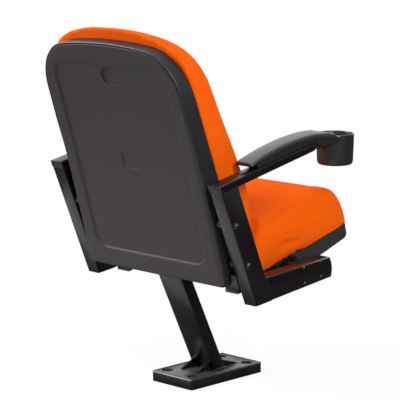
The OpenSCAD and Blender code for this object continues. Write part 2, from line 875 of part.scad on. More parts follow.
// The board lies just behind the parting line
module board_side(z0, z1, y0, y1) {
    polygon([
        [parting(z0) + y0, z0], [parting(z0) + y1, z0],
        [parting(z1) + y1, z1], [parting(z1) + y0, z1]
    ]);
}

module back_board() {
    color(plywood)
        difference() {
            intersection() {
                front(0, 2 * shell_foot_z)
                    tall_outline(
                        shell_in_half_w - fit, back_board_foot_z, back_board_top_z,
                        shell_corner_r - shell_wall, shell_foot_r
                    );
                side(-shell_half_w, shell_half_w)
                    board_side(back_board_foot_z - past, back_board_top_z + past, 0, board_depth);
            }
            both()
                board_screw_axes(board_screw_r + run_fit, board_screw_tip - fit, back_board_t + past);
        }
}

module back_cushion() {
    gap = fit / cos(part_lean);
    color(upholstery)
        intersection() {
            front(0, 2 * shell_foot_z)
                crowned_outline(
                    shell_half_w - fit, back_pad_foot_z, back_pad_top_z, shell_corner_r, shell_foot_r
                );
            side(-shell_half_w, shell_half_w)
                polygon(concat(
                    [for (p = back_pad_profile)
                        let (z = back_pad_foot_z + p[0] * back_pad_rise) [parting(z) - p[1], z]],
                    [[parting(back_pad_top_z) - gap, back_pad_top_z], [parting(back_pad_foot_z) - gap, back_pad_foot_z]]
                ));
        }
}

module back_angle() {
    x1 = shell_in_half_w;
    color(zinc)
        difference() {
            union() {
                side(x1 - angle_t, x1)
                    board_side(angle_foot_z, angle_top_z, board_depth, board_depth + angle_reach);
                side(x1 - angle_w, x1)
                    board_side(
                        back_board_foot_z, angle_top_z, board_depth, board_depth + angle_t / cos(part_lean)
                    );
            }
            for (p = bolt_points) {
                rod(p, bolt_clear_r, x1 - angle_t - past, x1 + past);
                rod(p, bolt_nut_r + fit, x1 - angle_w - past, x1 - angle_t);
            }
            board_screw_axes(board_screw_r + fit, back_board_t - past, back_board_t + angle_t + past);
        }
}

// Cylinders square to the back board, between two distances behind its front face
module board_screw_axes(r, d0, d1) {
    for (z = board_screw_z)
        translate([board_screw_x, parting(z), z])
            rotate([-90 - part_lean, 0, 0])
                translate([0, 0, d0])
                    cylinder(r = r, h = d1 - d0);
}

module board_screws() {
    seat_at = back_board_t + angle_t;
    color(zinc)
        both() {
            board_screw_axes(board_screw_r, board_screw_tip, seat_at + past);
            board_screw_axes(board_screw_head_r, seat_at, seat_at + board_screw_head_h);
        }
}

module back_spacers() {
    color(enamel)
        both()
            for (p = bolt_points)
                difference() {
                    rod(p, spacer_r, shell_half_w, frame_x);
                    rod(p, bolt_clear_r, shell_half_w - past, frame_x + past);
                }
}

module back_bolts() {
    tip = shell_in_half_w - angle_t - nut_h - past;
    color(zinc)
        both()
            for (p = bolt_points) {
                rod(p, bolt_r, tip, frame_x + post_w);
                dome(p, bolt_head_r, bolt_head_h, frame_x + post_w);
            }
}

module back_nuts() {
    x1 = shell_in_half_w - angle_t;
    color(zinc)
        both()
            for (p = bolt_points)
                difference() {
                    rod(p, bolt_nut_r, x1 - nut_h, x1, $fn = 6);
                    rod(p, bolt_r + run_fit, x1 - nut_h - past, x1 + past);
                }
}

// The fixed half of the hinge: a plate on the seat bar with a boss for the pin
module hinge_plate() {
    color(enamel)
        difference() {
            union() {
                at_hinge()
                    side(frame_x - hinge_t, frame_x)
                        square([hinge_l, hinge_h], center = true);
                rod(pivot, boss_r, boss_x, frame_x - hinge_t + past);
            }
            rod(pivot, pin_r + run_fit, boss_x - past, frame_x + past);
            at_hinge()
                for (p = hinge_points)
                    rod(p, hinge_screw_r + fit, frame_x - hinge_t - past, frame_x + past);
        }
}

module hinge_screws() {
    tip = frame_x - hinge_t - nut_h;
    color(zinc)
        both()
            at_hinge()
                for (p = hinge_points) {
                    rod(p, hinge_screw_r, tip, frame_x + post_w);
                    dome(p, hinge_screw_head_r, hinge_screw_head_h, frame_x + post_w);
                }
}

module hinge_nuts() {
    x1 = frame_x - hinge_t;
    color(zinc)
        both()
            at_hinge()
                for (p = hinge_points)
                    difference() {
                        rod(p, hinge_nut_r, x1 - nut_h + past, x1, $fn = 6);
                        rod(p, hinge_screw_r + run_fit, x1 - nut_h, x1 + past);
                    }
}

// The pin is fixed in the hinge plate and its head keeps the seat arm on
module pivot_pin() {
    head_x = tray_back_half_w - fit;
    color(zinc) {
        rod(pivot, pin_head_r, head_x - pin_head_t, head_x);
        rod(pivot, pin_r, head_x - past, frame_x - fit);
    }
}

module pivot_bush() {
    color(plastic)
        difference() {
            union() {
                rod(pivot, bush_r, tray_back_half_w, seat_arm_x + past);
                rod(pivot, boss_r, seat_arm_x, seat_arm_x + bush_flange_t);
            }
            rod(pivot, pin_r + run_fit, tray_back_half_w - past, boss_x);
        }
}

module seat_arm() {
    color(enamel)
        difference() {
            union() {
                rod(pivot, hub_r, tray_back_half_w, seat_arm_x);
                at_seat()
                    side(tray_back_half_w, seat_arm_x)
                        polygon([
                            [0, seat_arm_low], [seat_arm_len, seat_arm_low],
                            [seat_arm_len, seat_arm_high], [0, hub_r - past]
                        ]);
            }
            rod(pivot, bush_r, tray_back_half_w - past, seat_arm_x + past);
            seat_arm_screw_axes(seat_arm_screw_r + fit, tray_back_half_w - past, seat_arm_x + past);
        }
}

// Cylinders along X through the seat arm, the tray and the board's edge
module seat_arm_screw_axes(r, x0, x1) {
    at_seat()
        for (y = seat_arm_screw_y)
            rod([y, board_top - seat_board_t / 2], r, x0, x1);
}

module seat_arm_screws() {
    color(zinc)
        both() {
            seat_arm_screw_axes(seat_arm_screw_r, board_half_w - seat_arm_screw_in + fit, seat_arm_x + past);
            seat_arm_screw_axes(2 * seat_arm_screw_r, seat_arm_x, seat_arm_x + seat_arm_screw_head_h);
        }
}

// The tray's front block, or its hollow, seen from the side
module tray_front_side(off) {
    nose = -seat_nose - tray_ahead + off;
    low = -tray_depth + off;
    r = tray_nose_r - off;
    polygon(concat(
        arc([nose + r, low + r], r, 180, 270),
        [[-off, low], [-off, board_top + (off > 0 ? past : 0)], [nose, board_top + (off > 0 ? past : 0)]]
    ));
}

// The tray's back block, or its hollow
module tray_back_side(off) {
    polygon([
        [-seat_corner_r, -tray_depth_back + off], [tray_back - off, -tray_depth_back + off],
        [tray_back - off, board_top + (off > 0 ? past : 0)], [-seat_corner_r, board_top + (off > 0 ? past : 0)]
    ]);
}

module tray_block(off) {
    intersection() {
        side(-seat_half_w + off, seat_half_w - off)
            tray_front_side(off);
        translate([0, 0, -2 * tray_depth])
            linear_extrude(4 * tray_depth)
                plan_outline(
                    seat_half_w - off, -seat_nose - tray_ahead + off, seat_corner_r, seat_corner_r - off, 1
                );
    }
    side(-tray_back_half_w + off, tray_back_half_w - off)
        tray_back_side(off);
}

module seat_tray() {
    color(plastic)
        difference() {
            union() {
                at_seat()
                    difference() {
                        tray_block(0);
                        tray_block(tray_wall);
                    }
                at_seat()
                    both()
                        for (p = tray_screw_points)
                            translate([p[0], p[1], tray_floor(p[1])])
                                cylinder(r = tray_boss_r, h = board_low - tray_floor(p[1]));
            }
            tray_screw_axes(tray_screw_r + fit, -past);
            both() {
                rod(pivot, hub_r + hub_gap, tray_back_half_w, seat_half_w + past);
                rod(pivot, pin_head_r + pin_head_gap, tray_back_half_w - tray_wall - past, tray_back_half_w + past);
                seat_arm_screw_axes(
                    seat_arm_screw_r + fit, tray_back_half_w - tray_wall - past, tray_back_half_w + past
                );
                at_seat()
                    side(stop_x - fit, stop_x + stop_w + fit)
                        polygon([
                            [board_back, stop_corner[1] - fit], [tray_back + past, stop_corner[1] - fit],
                            [tray_back + past, board_low], [board_back, board_low]
                        ]);
            }
        }
}

// The height of the tray's underside at y
function tray_floor(y) = y < 0 ? -tray_depth : -tray_depth_back;

// Cylinders up through the tray's bosses, from the height given above the tray's underside
module tray_screw_axes(r, up) {
    at_seat()
        both()
            for (p = tray_screw_points)
                translate([p[0], p[1], tray_floor(p[1]) + up])
                    cylinder(r = r, h = board_top - tray_screw_short - tray_floor(p[1]) - up);
}

module tray_screws() {
    color(zinc) {
        tray_screw_axes(tray_screw_r, -past);
        at_seat()
            both()
                for (p = tray_screw_points)
                    translate([p[0], p[1], tray_floor(p[1]) - tray_screw_head_h])
                        cylinder(r = tray_screw_head_r, h = tray_screw_head_h);
    }
}

module seat_board() {
    color(plywood)
        difference() {
            at_seat()
                translate([0, 0, board_low])
                    linear_extrude(seat_board_t)
                        plan_outline(board_half_w, -board_nose, board_back, seat_corner_r, stop_edge_r);
            both() {
                seat_arm_screw_axes(seat_arm_screw_r + run_fit, board_half_w - seat_arm_screw_in, board_half_w + past);
                stop_screw_axes(stop_screw_r + run_fit, board_low - past, board_top + past);
            }
            tray_screw_axes(tray_screw_r + run_fit, 0);
        }
}

// The cushion's back is round about the pivot, so that it clears the column
module seat_cushion() {
    back_low = asin(seat_pad_low / seat_back_r);
    back_high = asin((seat_pad_high - 1) / seat_back_r);
    nose_y = -seat_nose;
    color(upholstery)
        at_seat()
            intersection() {
                side(-seat_half_w, seat_half_w)
                    polygon(concat(
                        arc([0, 0], seat_back_r, back_low, back_high),
                        arc([nose_y + nose_top_r, seat_pad_high - nose_top_r], nose_top_r, 90, 180),
                        arc([nose_y + nose_low_r, seat_pad_low + nose_low_r], nose_low_r, 180, 270)
                    ));
                linear_extrude(2 * seat_pad_high)
                    plan_outline(seat_half_w, -seat_nose, seat_back_r + past, seat_corner_r, stop_edge_r);
            }
}

// Upright cylinders through the seat board and a stop arm
module stop_screw_axes(r, z0, z1) {
    at_seat()
        for (y = stop_screw_y)
            translate([stop_x + stop_w / 2, y, z0])
                cylinder(r = r, h = z1 - z0);
}

module stop_arm() {
    low = stop_corner[1];
    color(enamel)
        difference() {
            at_seat()
                intersection() {
                    side(stop_x, stop_x + stop_w)
                        polygon([
                            [stop_start, low], stop_corner, stop_top_back, stop_top_front,
                            [stop_top_front[0], board_low], [stop_start, board_low]
                        ]);
                    front(0, 2 * stop_y)
                        translate([stop_x + stop_w / 2, 0])
                            tall_outline(stop_w / 2, low, low + 4 * stop_w, stop_edge_r, stop_edge_r / 2);
                }
            stop_screw_axes(stop_screw_r + run_fit, low - past, board_low + past);
        }
}

module stop_screws() {
    color(zinc)
        both()
            stop_screw_axes(stop_screw_r, stop_corner[1] + 1, board_top);
}

// Lies on the stop arm, just under the beam's front edge
module buffer() {
    at = stop_top_front;
    dir = unit(stop_top_back - stop_top_front);
    up = left_of(dir);
    color(rubber)
        at_seat()
            side(stop_x + buffer_edge, stop_x + buffer_edge + buffer_w)
                polygon([at, at + buffer_d * dir, at + buffer_d * dir + buffer_t * up, at + buffer_t * up]);
}

floor_plate();
gussets(column_quad[0], -1);  // front_gussets
gussets(column_quad[1], 1);  // rear_gussets
column();
cross_beam();
post();  // post_left
mirrored() post();  // post_right
post_plugs();
seat_bar();  // seat_bar_left
mirrored() seat_bar();  // seat_bar_right
seat_bar_cap();  // seat_bar_cap_left
mirrored() seat_bar_cap();  // seat_bar_cap_right
arm_bar();  // arm_bar_left
mirrored() arm_bar();  // arm_bar_right
arm_bar_plugs();
arm_pad();  // arm_pad_left
mirrored() arm_pad();  // arm_pad_right
pad_screws();
back_shell();
back_board();
back_cushion();
back_angle();  // back_angle_left
mirrored() back_angle();  // back_angle_right
back_spacers();
back_bolts();
back_nuts();
board_screws();
hinge_plate();  // hinge_plate_left
mirrored() hinge_plate();  // hinge_plate_right
hinge_screws();
hinge_nuts();
pivot_pin();  // pivot_pin_left
mirrored() pivot_pin();  // pivot_pin_right
pivot_bush();  // pivot_bush_left
mirrored() pivot_bush();  // pivot_bush_right
seat_arm();  // seat_arm_left
mirrored() seat_arm();  // seat_arm_right
seat_arm_screws();
seat_tray();
seat_board();
seat_cushion();
tray_screws();
stop_arm();  // stop_arm_left
mirrored() stop_arm();  // stop_arm_right
stop_screws();
buffer();  // buffer_left
mirrored() buffer();  // buffer_right
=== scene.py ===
import json
from math import acos, asin, atan, atan2, copysign, cos, degrees, exp, pi, radians, sin, sqrt, tan

import bmesh
import bpy
from mathutils import Matrix, Vector


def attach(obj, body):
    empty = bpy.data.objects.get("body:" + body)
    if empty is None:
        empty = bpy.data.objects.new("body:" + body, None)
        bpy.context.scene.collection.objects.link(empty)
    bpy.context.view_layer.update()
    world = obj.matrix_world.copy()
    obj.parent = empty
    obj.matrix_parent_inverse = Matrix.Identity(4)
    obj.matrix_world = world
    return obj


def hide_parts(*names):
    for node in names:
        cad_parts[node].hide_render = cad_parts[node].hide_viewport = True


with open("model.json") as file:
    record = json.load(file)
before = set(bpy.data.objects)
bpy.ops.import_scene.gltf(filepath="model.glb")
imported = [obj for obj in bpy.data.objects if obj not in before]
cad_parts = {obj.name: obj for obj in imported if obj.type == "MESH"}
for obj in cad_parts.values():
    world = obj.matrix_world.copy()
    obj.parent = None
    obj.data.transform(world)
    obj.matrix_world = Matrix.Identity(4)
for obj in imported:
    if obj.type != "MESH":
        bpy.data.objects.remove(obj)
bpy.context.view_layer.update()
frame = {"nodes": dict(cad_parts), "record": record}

MM = 0.001
RECORD = frame["record"]
BODY_OF = {n: b for b, ns in RECORD["behaviour"]["bodies"].items() for n in ns}
SLOT_OF = {s["node"]: s["material_slot"] for s in RECORD["subparts"]}


# ---------------------------------------------------------------- sizes, in millimetres

def along(lean):
    return Vector((sin(radians(lean)), cos(radians(lean))))


def across(lean):
    return Vector((cos(radians(lean)), -sin(radians(lean))))


def meet(p, d, q, e):
    """The point where the line through p along d meets the line through q along e."""
    return p + d * ((q - p).cross(e) / d.cross(e))


FRAME_X = 260.0
POST_W, POST_D, POST_LEN = 40.0, 58.0, 314.0
POST_LEAN = 22.6
COLUMN_LEAN, COLUMN_D = 25.8, 36.0
COLUMN_X = 40.0
SEAT_TILT = 15.0


def slope_of(angle):
    """The way a bar runs forwards and up, and the way square to it."""
    a = radians(angle)
    return Vector((-cos(a), sin(a))), Vector((sin(a), cos(a)))


ARM_SLOPE = 11.8
UP, OVER = along(POST_LEAN), across(POST_LEAN)
BAR_DIR, BAR_UP = slope_of(6.5)
ARM_DIR, ARM_UP = slope_of(ARM_SLOPE)

POST_FOOT = Vector((139.0, 255.0))
POST_TOP = POST_FOOT + POST_LEN * UP
POST_FRONT = POST_FOOT - POST_D * OVER
POST_QUAD = [
    meet(POST_FRONT, UP, POST_FOOT, BAR_DIR), POST_FOOT, POST_TOP, meet(POST_FRONT, UP, POST_TOP, ARM_DIR),
]
MID_FOOT = POST_FOOT - POST_D / 2 * OVER
BAR_LEN, BAR_REAR_H, BAR_FRONT_H = 217, 64, 53
BAR_FRONT = POST_QUAD[0] + BAR_LEN * BAR_DIR
BAR_QUAD = [BAR_FRONT, POST_QUAD[0], POST_QUAD[0] + BAR_REAR_H * UP, BAR_FRONT + BAR_FRONT_H * BAR_UP]
ARM_LEN, ARM_T = 339.0, 20.0
ARM_FRONT = POST_TOP + ARM_LEN * ARM_DIR
ARM_QUAD = [
    ARM_FRONT, POST_TOP, meet(POST_TOP + ARM_T * ARM_UP, ARM_DIR, POST_TOP, UP), ARM_FRONT + ARM_T * ARM_UP,
]
BEAM_D, BEAM_H = 60, 40
BEAM_MID = MID_FOOT + 60.5 * UP
BEAM_QUAD = [
    BEAM_MID + s * BEAM_D / 2 * OVER + t * BEAM_H / 2 * UP for s, t in ((-1, -1), (1, -1), (1, 1), (-1, 1))
]
COLUMN_FOOT_Z = 26.5
COLUMN_TOP = BEAM_MID - BEAM_H / 2 * UP


def column_face(off, p, d):
    return meet(COLUMN_TOP + off * across(COLUMN_LEAN), along(COLUMN_LEAN), p, d)


COLUMN_QUAD = [
    column_face(-COLUMN_D / 2, Vector((0, COLUMN_FOOT_Z)), Vector((1, 0))),
    column_face(COLUMN_D / 2, Vector((0, COLUMN_FOOT_Z)), Vector((1, 0))),
    column_face(COLUMN_D / 2, COLUMN_TOP, OVER),
    column_face(-COLUMN_D / 2, COLUMN_TOP, OVER),
]
PIVOT = Vector((-67.5563, 321.231))
CUP = Vector((280.0, -170.667))
CUP_TOP_Z = 647.212

SHELL_FOOT_Z, SHELL_TOP_Z = 298.0, 897.0
SHELL_HALF_W = 239.0
SHELL_FOOT_Y, PARTING_FOOT_Y = 189, 104
SHELL_BEND, SHELL_LEAN = 9000, radians(15.2)


def shell_back(z):
    """Y of the shell's rear face at height z."""
    bend = asin(sin(SHELL_LEAN) + (z - SHELL_FOOT_Z) / SHELL_BEND)
    return SHELL_FOOT_Y + SHELL_BEND * (cos(SHELL_LEAN) - cos(bend))


PART_LEAN = atan((shell_back(SHELL_TOP_Z) - 40 - PARTING_FOOT_Y) / (SHELL_TOP_Z - SHELL_FOOT_Z))


def parting(z):
    """Y of the line where shell and back cushion part, at height z."""
    return PARTING_FOOT_Y + (z - SHELL_FOOT_Z) * tan(PART_LEAN)


def seat_point(x, y, z):
    """A point drawn about the pivot with the seat level, placed at the seat's own tilt."""
    t = radians(SEAT_TILT)
    return Vector((
        x, PIVOT.x + y * cos(t) + z * sin(t), PIVOT.y - y * sin(t) + z * cos(t),
    ))


def seat_level(p):
    """A point of the placed seat, given in metres, back to millimetres about the pivot, seat level."""
    t = radians(SEAT_TILT)
    y, z = p.y * 1000 - PIVOT.x, p.z * 1000 - PIVOT.y
    return Vector((p.x * 1000, y * cos(t) - z * sin(t), y * sin(t) + z * cos(t)))


def smoothstep(a, b, x):
    t = min(max((x - a) / (b - a), 0.0), 1.0)
    return t * t * (3 - 2 * t)


def curve_value(points, x):
    """A smooth curve through (x, value) points that doesn't overshoot."""
    if x <= points[0][0]:
        return points[0][1]
    for i in range(len(points) - 1):
        (x0, y0), (x1, y1) = points[i], points[i + 1]
        if x <= x1:
            def slope(k):
                if k <= 0 or k >= len(points) - 1:
                    return 0.0
                a = (points[k][1] - points[k - 1][1]) / (points[k][0] - points[k - 1][0])
                b = (points[k + 1][1] - points[k][1]) / (points[k + 1][0] - points[k][0])
                return 0.0 if a * b <= 0 else 2 * a * b / (a + b)
            h, t = x1 - x0, (x - x0) / (x1 - x0)
            return (
                y0 * (1 + 2 * t) * (1 - t) ** 2 + h * slope(i) * t * (1 - t) ** 2
                + y1 * t * t * (3 - 2 * t) + h * slope(i + 1) * t * t * (t - 1)
            )
    return points[-1][1]


# ---------------------------------------------------------------- modelling by hand

def only(obj):
    """Selects one object and nothing else."""
    bpy.ops.object.select_all(action="DESELECT")
    bpy.context.view_layer.objects.active = obj
    obj.select_set(True)


def edit(obj):
    only(obj)
    bpy.ops.object.mode_set(mode="EDIT")
    return bmesh.from_edit_mesh(obj.data)


def leave():
    bpy.ops.object.mode_set(mode="OBJECT")


def face_out(obj):
    edit(obj)
    bpy.ops.mesh.select_all(action="SELECT")
    bpy.ops.mesh.normals_make_consistent(inside=False)
    leave()


def smooth(obj, angle=35):
    only(obj)
    bpy.ops.object.shade_smooth_by_angle(angle=radians(angle))


def apply_modifier(obj, kind, **settings):
    only(obj)
    m = obj.modifiers.new(kind.lower(), kind)
    for key, value in settings.items():
        setattr(m, key, value)
    bpy.ops.object.modifier_apply(modifier=m.name)


def loft(name, rings):
    """A closed skin drawn out of a circle, ring by ring. Rings are lists of points in millimetres."""
    bpy.ops.object.select_all(action="DESELECT")
    bpy.ops.mesh.primitive_circle_add(vertices=len(rings[0]), radius=0.1, fill_type="NOTHING")
    obj = bpy.context.object
    obj.name = name
    bpy.ops.object.mode_set(mode="EDIT")
    bm = bmesh.from_edit_mesh(obj.data)
    place = bm.verts.layers.int.new("place")
    for i, v in enumerate(sorted(bm.verts, key=lambda w: w.index)):
        v[place] = i
        v.co = Vector(rings[0][i]) * MM
    bpy.ops.mesh.edge_face_add()
    bm = bmesh.from_edit_mesh(obj.data)
    for f in bm.faces:
        f.select_set(False)
    for e in bm.edges:
        e.select_set(True)
    bmesh.update_edit_mesh(obj.data)
    for ring in rings[1:]:
        bpy.ops.mesh.extrude_edges_move()
        bm = bmesh.from_edit_mesh(obj.data)
        place = bm.verts.layers.int["place"]
        for v in bm.verts:
            if v.select:
                v.co = Vector(ring[v[place]]) * MM
    bpy.ops.mesh.edge_face_add()
    bm = bmesh.from_edit_mesh(obj.data)
    bm.verts.layers.int.remove(bm.verts.layers.int["place"])
    bmesh.update_edit_mesh(obj.data)
    leave()
    face_out(obj)
    return obj


def lathe(name, centre, profile, steps=64):
    """Rings of (radius, height) about the upright line through centre."""
    angles = [2 * pi * i / steps for i in range(steps)]
    return loft(name, [
        [(centre[0] + r * cos(a), centre[1] + r * sin(a), z) for a in angles] for r, z in profile
    ])


def move_points(obj, place):
    """Moves each point of the mesh to place(where it is)."""
    bm = edit(obj)
    for v in bm.verts:
        v.co = place(v.co)
    bmesh.update_edit_mesh(obj.data)
    leave()


def block(name, corner):
    """A cube, its corners moved to corner(x, y, z) in millimetres; x, y and z are true on the far sides."""
    bpy.ops.object.select_all(action="DESELECT")
    bpy.ops.mesh.primitive_cube_add(size=2)
    obj = bpy.context.object
    obj.name = name
    move_points(obj, lambda co: Vector(corner(*(c > 0 for c in co))) * MM)
    return obj


def bevelled(obj, width, segments, angle, **settings):
    """Breaks the edges that are sharper than the given angle."""
    apply_modifier(
        obj, "BEVEL", width=width * MM, segments=segments, limit_method="ANGLE",
        angle_limit=radians(angle), **settings,
    )


def mirrored(obj, name):
    """A copy on the other side of the centre plane, with its own mesh."""
    only(obj)
    bpy.ops.object.duplicate()
    copy = bpy.context.object
    copy.name = name
    move_points(copy, lambda co: Vector((-co.x, co.y, co.z)))
    edit(copy)
    bpy.ops.mesh.select_all(action="SELECT")
    bpy.ops.mesh.flip_normals()
    leave()
    return copy


def rounded_copy(node, name, width, segments=2, angle=35):
    """A CAD node's shape with its edges broken."""
    only(frame["nodes"][node])
    bpy.ops.object.duplicate()
    copy = bpy.context.object
    copy.name = name
    copy.parent = None
    for key in list(copy.keys()):
        del copy[key]
    edit(copy)
    bpy.ops.mesh.select_all(action="SELECT")
    bpy.ops.mesh.remove_doubles(threshold=0.000005)
    bpy.ops.mesh.customdata_custom_splitnormals_clear()
    bpy.ops.mesh.dissolve_limited(angle_limit=radians(1))
    leave()
    bevelled(copy, width, segments, angle, use_clamp_overlap=True)
    smooth(copy, 40)
    return copy


def joined(name, parts):
    only(parts[0])
    for p in parts:
        p.select_set(True)
    bpy.ops.object.join()
    obj = bpy.context.object
    obj.name = name
    return obj


def cut(obj, cutter):
    apply_modifier(obj, "BOOLEAN", operation="DIFFERENCE", object=cutter, solver="EXACT")
    bpy.data.objects.remove(cutter)


# ---------------------------------------------------------------- finishes

class Wiring:
    """Adds nodes to a tree and joins them by name."""

    def __init__(self, tree):
        self.tree = tree

    def feed(self, socket, value):
        """Links the socket to another socket, or sets it to a plain value."""
        if isinstance(value, bpy.types.NodeSocket):
            self.tree.links.new(value, socket)
        else:
            socket.default_value = value

    def add(self, kind, inputs=None, **settings):
        n = self.tree.nodes.new(kind)
        for key, value in settings.items():
            setattr(n, key, value)
        for key, value in (inputs or {}).items():
            self.feed(n.inputs[key], value)
        return n

    def math(self, op, a, b=0.0, c=0.0, clamp=False):
        return self.add("ShaderNodeMath", {0: a, 1: b, 2: c}, operation=op, use_clamp=clamp).outputs[0]

    def mix(self, fac, a, b):
        return self.add("ShaderNodeMix", {0: fac, 6: a, 7: b}, data_type="RGBA").outputs[2]

    def noise(self, at, scale, detail, **inputs):
        """A noise pattern's value."""
        wanted = {"Vector": at, "Scale": scale, "Detail": detail, **inputs}
        return self.add("ShaderNodeTexNoise", wanted).outputs["Fac"]

    def span(self, value, a, b, c, d):
        n = self.add("ShaderNodeMapRange", {0: value, 1: a, 2: b, 3: c, 4: d})
        return n.outputs[0]


def new_group(name, outputs, **values):
    """A shader effect with a Vector input, a number for each value, and numbers out."""
    tree = bpy.data.node_groups.new(name, "ShaderNodeTree")
    tree.interface.new_socket(name="Vector", in_out="INPUT", socket_type="NodeSocketVector")
    for label, value in values.items():
        s = tree.interface.new_socket(name=label, in_out="INPUT", socket_type="NodeSocketFloat")
        s.default_value = value
    for label in outputs:
        tree.interface.new_socket(name=label, in_out="OUTPUT", socket_type="NodeSocketFloat")
    w = Wiring(tree)
    return tree, w, w.add("NodeGroupInput").outputs, w.add("NodeGroupOutput").inputs


def build_grain():
    """Moulded or sprayed grain: a fine height and a slow drift of shade."""
    tree, w, i, o = new_group("surface_grain", ("Height", "Shade"), Size=1.0, Drift=90.0)
    at = i["Vector"]
    fine = w.noise(at, w.math("DIVIDE", 1000.0, i["Size"]), 3.0, Roughness=0.6)
    wide = w.noise(at, w.math("DIVIDE", 1000.0, i["Drift"]), 4.0, Roughness=0.55)
    w.feed(o["Height"], fine)
    w.feed(o["Shade"], w.span(wide, 0.3, 0.7, 0.0, 1.0))
    return tree


def build_edge_wear_and_highlight():
    """Where a hard edge has been rubbed, and a painted highlight along it: one on the edge, fading within its
    width.
    """
    tree, w, i, o = new_group("edge_wear_and_highlight", ("Mask",), Width=0.0015, Amount=1.0)
    bevel = w.add("ShaderNodeBevel", {"Radius": i["Width"]}, samples=4)
    flat = w.add("ShaderNodeNewGeometry")
    ways = {0: bevel.outputs[0], 1: flat.outputs["Normal"]}
    dot = w.add("ShaderNodeVectorMath", ways, operation="DOT_PRODUCT")
    edge = w.span(dot.outputs["Value"], 0.995, 0.86, 0.0, 1.0)
    breakup = w.noise(i["Vector"], 60.0, 5.0, Roughness=0.65)
    broken = w.math("MULTIPLY", edge, w.span(breakup, 0.42, 0.62, 0.15, 1.0))
    w.feed(o["Mask"], w.math("MULTIPLY", broken, i["Amount"], clamp=True))
    return tree


def build_weave():
    """Plain weave, turned to face whichever way the cloth lies."""
    tree, w, i, o = new_group("plain_weave", ("Height", "Yarn"), Pitch=1.2)
    turns = w.math("DIVIDE", 1000 * 2 * pi, i["Pitch"])
    at = w.add("ShaderNodeSeparateXYZ", {0: i["Vector"]})
    s = [w.math("SINE", w.math("MULTIPLY", at.outputs[k], turns)) for k in range(3)]
    facing = w.add("ShaderNodeNewGeometry")
    way = w.add("ShaderNodeSeparateXYZ", {0: facing.outputs["Normal"]})
    total, weight = None, None
    for k in range(3):
        share = w.math("POWER", w.math("ABSOLUTE", way.outputs[k]), 4.0)
        crossing = w.math("MULTIPLY", s[(k + 1) % 3], s[(k + 2) % 3])
        part = w.math("MULTIPLY", crossing, share)
        total = part if total is None else w.math("ADD", total, part)
        weight = share if weight is None else w.math("ADD", weight, share)
    height = w.math("MULTIPLY_ADD", w.math("DIVIDE", total, weight), 0.5, 0.5)
    slub = w.noise(i["Vector"], 420.0, 2.0)
    w.feed(o["Height"], height)
    w.feed(o["Yarn"], w.math("MULTIPLY_ADD", slub, 0.5, w.math("MULTIPLY", height, 0.5)))
    return tree


def build_dust_and_sheen():
    """Thin dust on faces that look up, and a painted sheen: it lightens the tops as if they mirrored the
    bright room above.
    """
    tree, w, i, o = new_group("settled_dust_and_sheen", ("Mask",), Amount=0.1)
    facing = w.add("ShaderNodeNewGeometry")
    up = w.add("ShaderNodeSeparateXYZ", {0: facing.outputs["Normal"]})
    flat = w.span(up.outputs[2], 0.6, 1.0, 0.0, 1.0)
    cloud = w.noise(i["Vector"], 24.0, 6.0, Roughness=0.7)
    mask = w.math("MULTIPLY", flat, w.span(cloud, 0.35, 0.75, 0.0, 1.0))
    w.feed(o["Mask"], w.math("MULTIPLY", mask, i["Amount"], clamp=True))
    return tree


GRAIN, WEAR_AND_HIGHLIGHT, WEAVE, DUST_AND_SHEEN = build_grain(), build_edge_wear_and_highlight(), build_weave(), build_dust_and_sheen()


def bare_tree(owner):
    """Empties a material's or world's nodes."""
    owner.use_nodes = True
    owner.node_tree.nodes.clear()
    return Wiring(owner.node_tree)


def new_material(name):
    m = bpy.data.materials.new(name)
    w = bare_tree(m)
    out = w.add("ShaderNodeOutputMaterial")
    skin = w.add("ShaderNodeBsdfPrincipled")
    w.feed(out.inputs[0], skin.outputs[0])
    place = w.add("ShaderNodeTexCoord").outputs["Object"]
    return m, w, skin, place


def use(w, tree, **inputs):
    """Places a shared effect in a material, with its own values."""
    return w.add("ShaderNodeGroup", inputs, node_tree=tree)


def bump(w, skin, height, depth, strength=1.0, under=None):
    n = w.add("ShaderNodeBump", {"Height": height, "Distance": depth * MM, "Strength": strength})
    if under:
        w.feed(n.inputs["Normal"], under)
    w.feed(skin.inputs["Normal"], n.outputs[0])
    return n.outputs[0]


def solid(colour, share=1.0):
    """A colour made lighter or darker, with its alpha."""
    return tuple(min(c * share, 1.0) for c in colour) + (1,)


def set_plain(skin, **values):
    """Sets the shader's own sockets; a name's underscores stand for spaces."""
    for key, value in values.items():
        skin.inputs[key.replace("_", " ")].default_value = value


def hard_finish(name, colour, worn_and_lit_colour, rough, grain, depth, specular=0.5, wear_and_highlight=0.6, wear_and_highlight_width=1.4, drift=120.0,
                dust_and_sheen=0.0, shade=0.12):
    """Enamel, iron, moulded plastic or rubber: grain, drift of colour and gloss, rubbed edges with a painted
    edge highlight, dust with a painted sheen on faces that look up.
    """
    m, w, skin, place = new_material(name)
    g = use(w, GRAIN, Vector=place, Size=grain, Drift=drift)
    e = use(w, WEAR_AND_HIGHLIGHT, Vector=place, Width=wear_and_highlight_width * MM, Amount=wear_and_highlight)
    base = w.mix(g.outputs["Shade"], solid(colour, 1 - shade), solid(colour, 1 + shade))
    # painted highlight: edges are lightened, partly rubbed paint, partly a painted edge highlight
    base = w.mix(e.outputs["Mask"], base, solid(worn_and_lit_colour))
    # dust and painted sheen: faces that look up are lightened, partly settled dust, partly a painted sheen
    if dust_and_sheen:
        d = use(w, DUST_AND_SHEEN, Vector=place, Amount=dust_and_sheen)
        base = w.mix(d.outputs["Mask"], base, (0.36, 0.34, 0.32, 1))
    w.feed(skin.inputs["Base Color"], base)
    w.feed(skin.inputs["Roughness"], w.span(g.outputs["Shade"], 0.0, 1.0, rough - 0.035, rough + 0.045))
    set_plain(skin, Specular_IOR_Level=specular)
    bump(w, skin, g.outputs["Height"], depth)
    return m


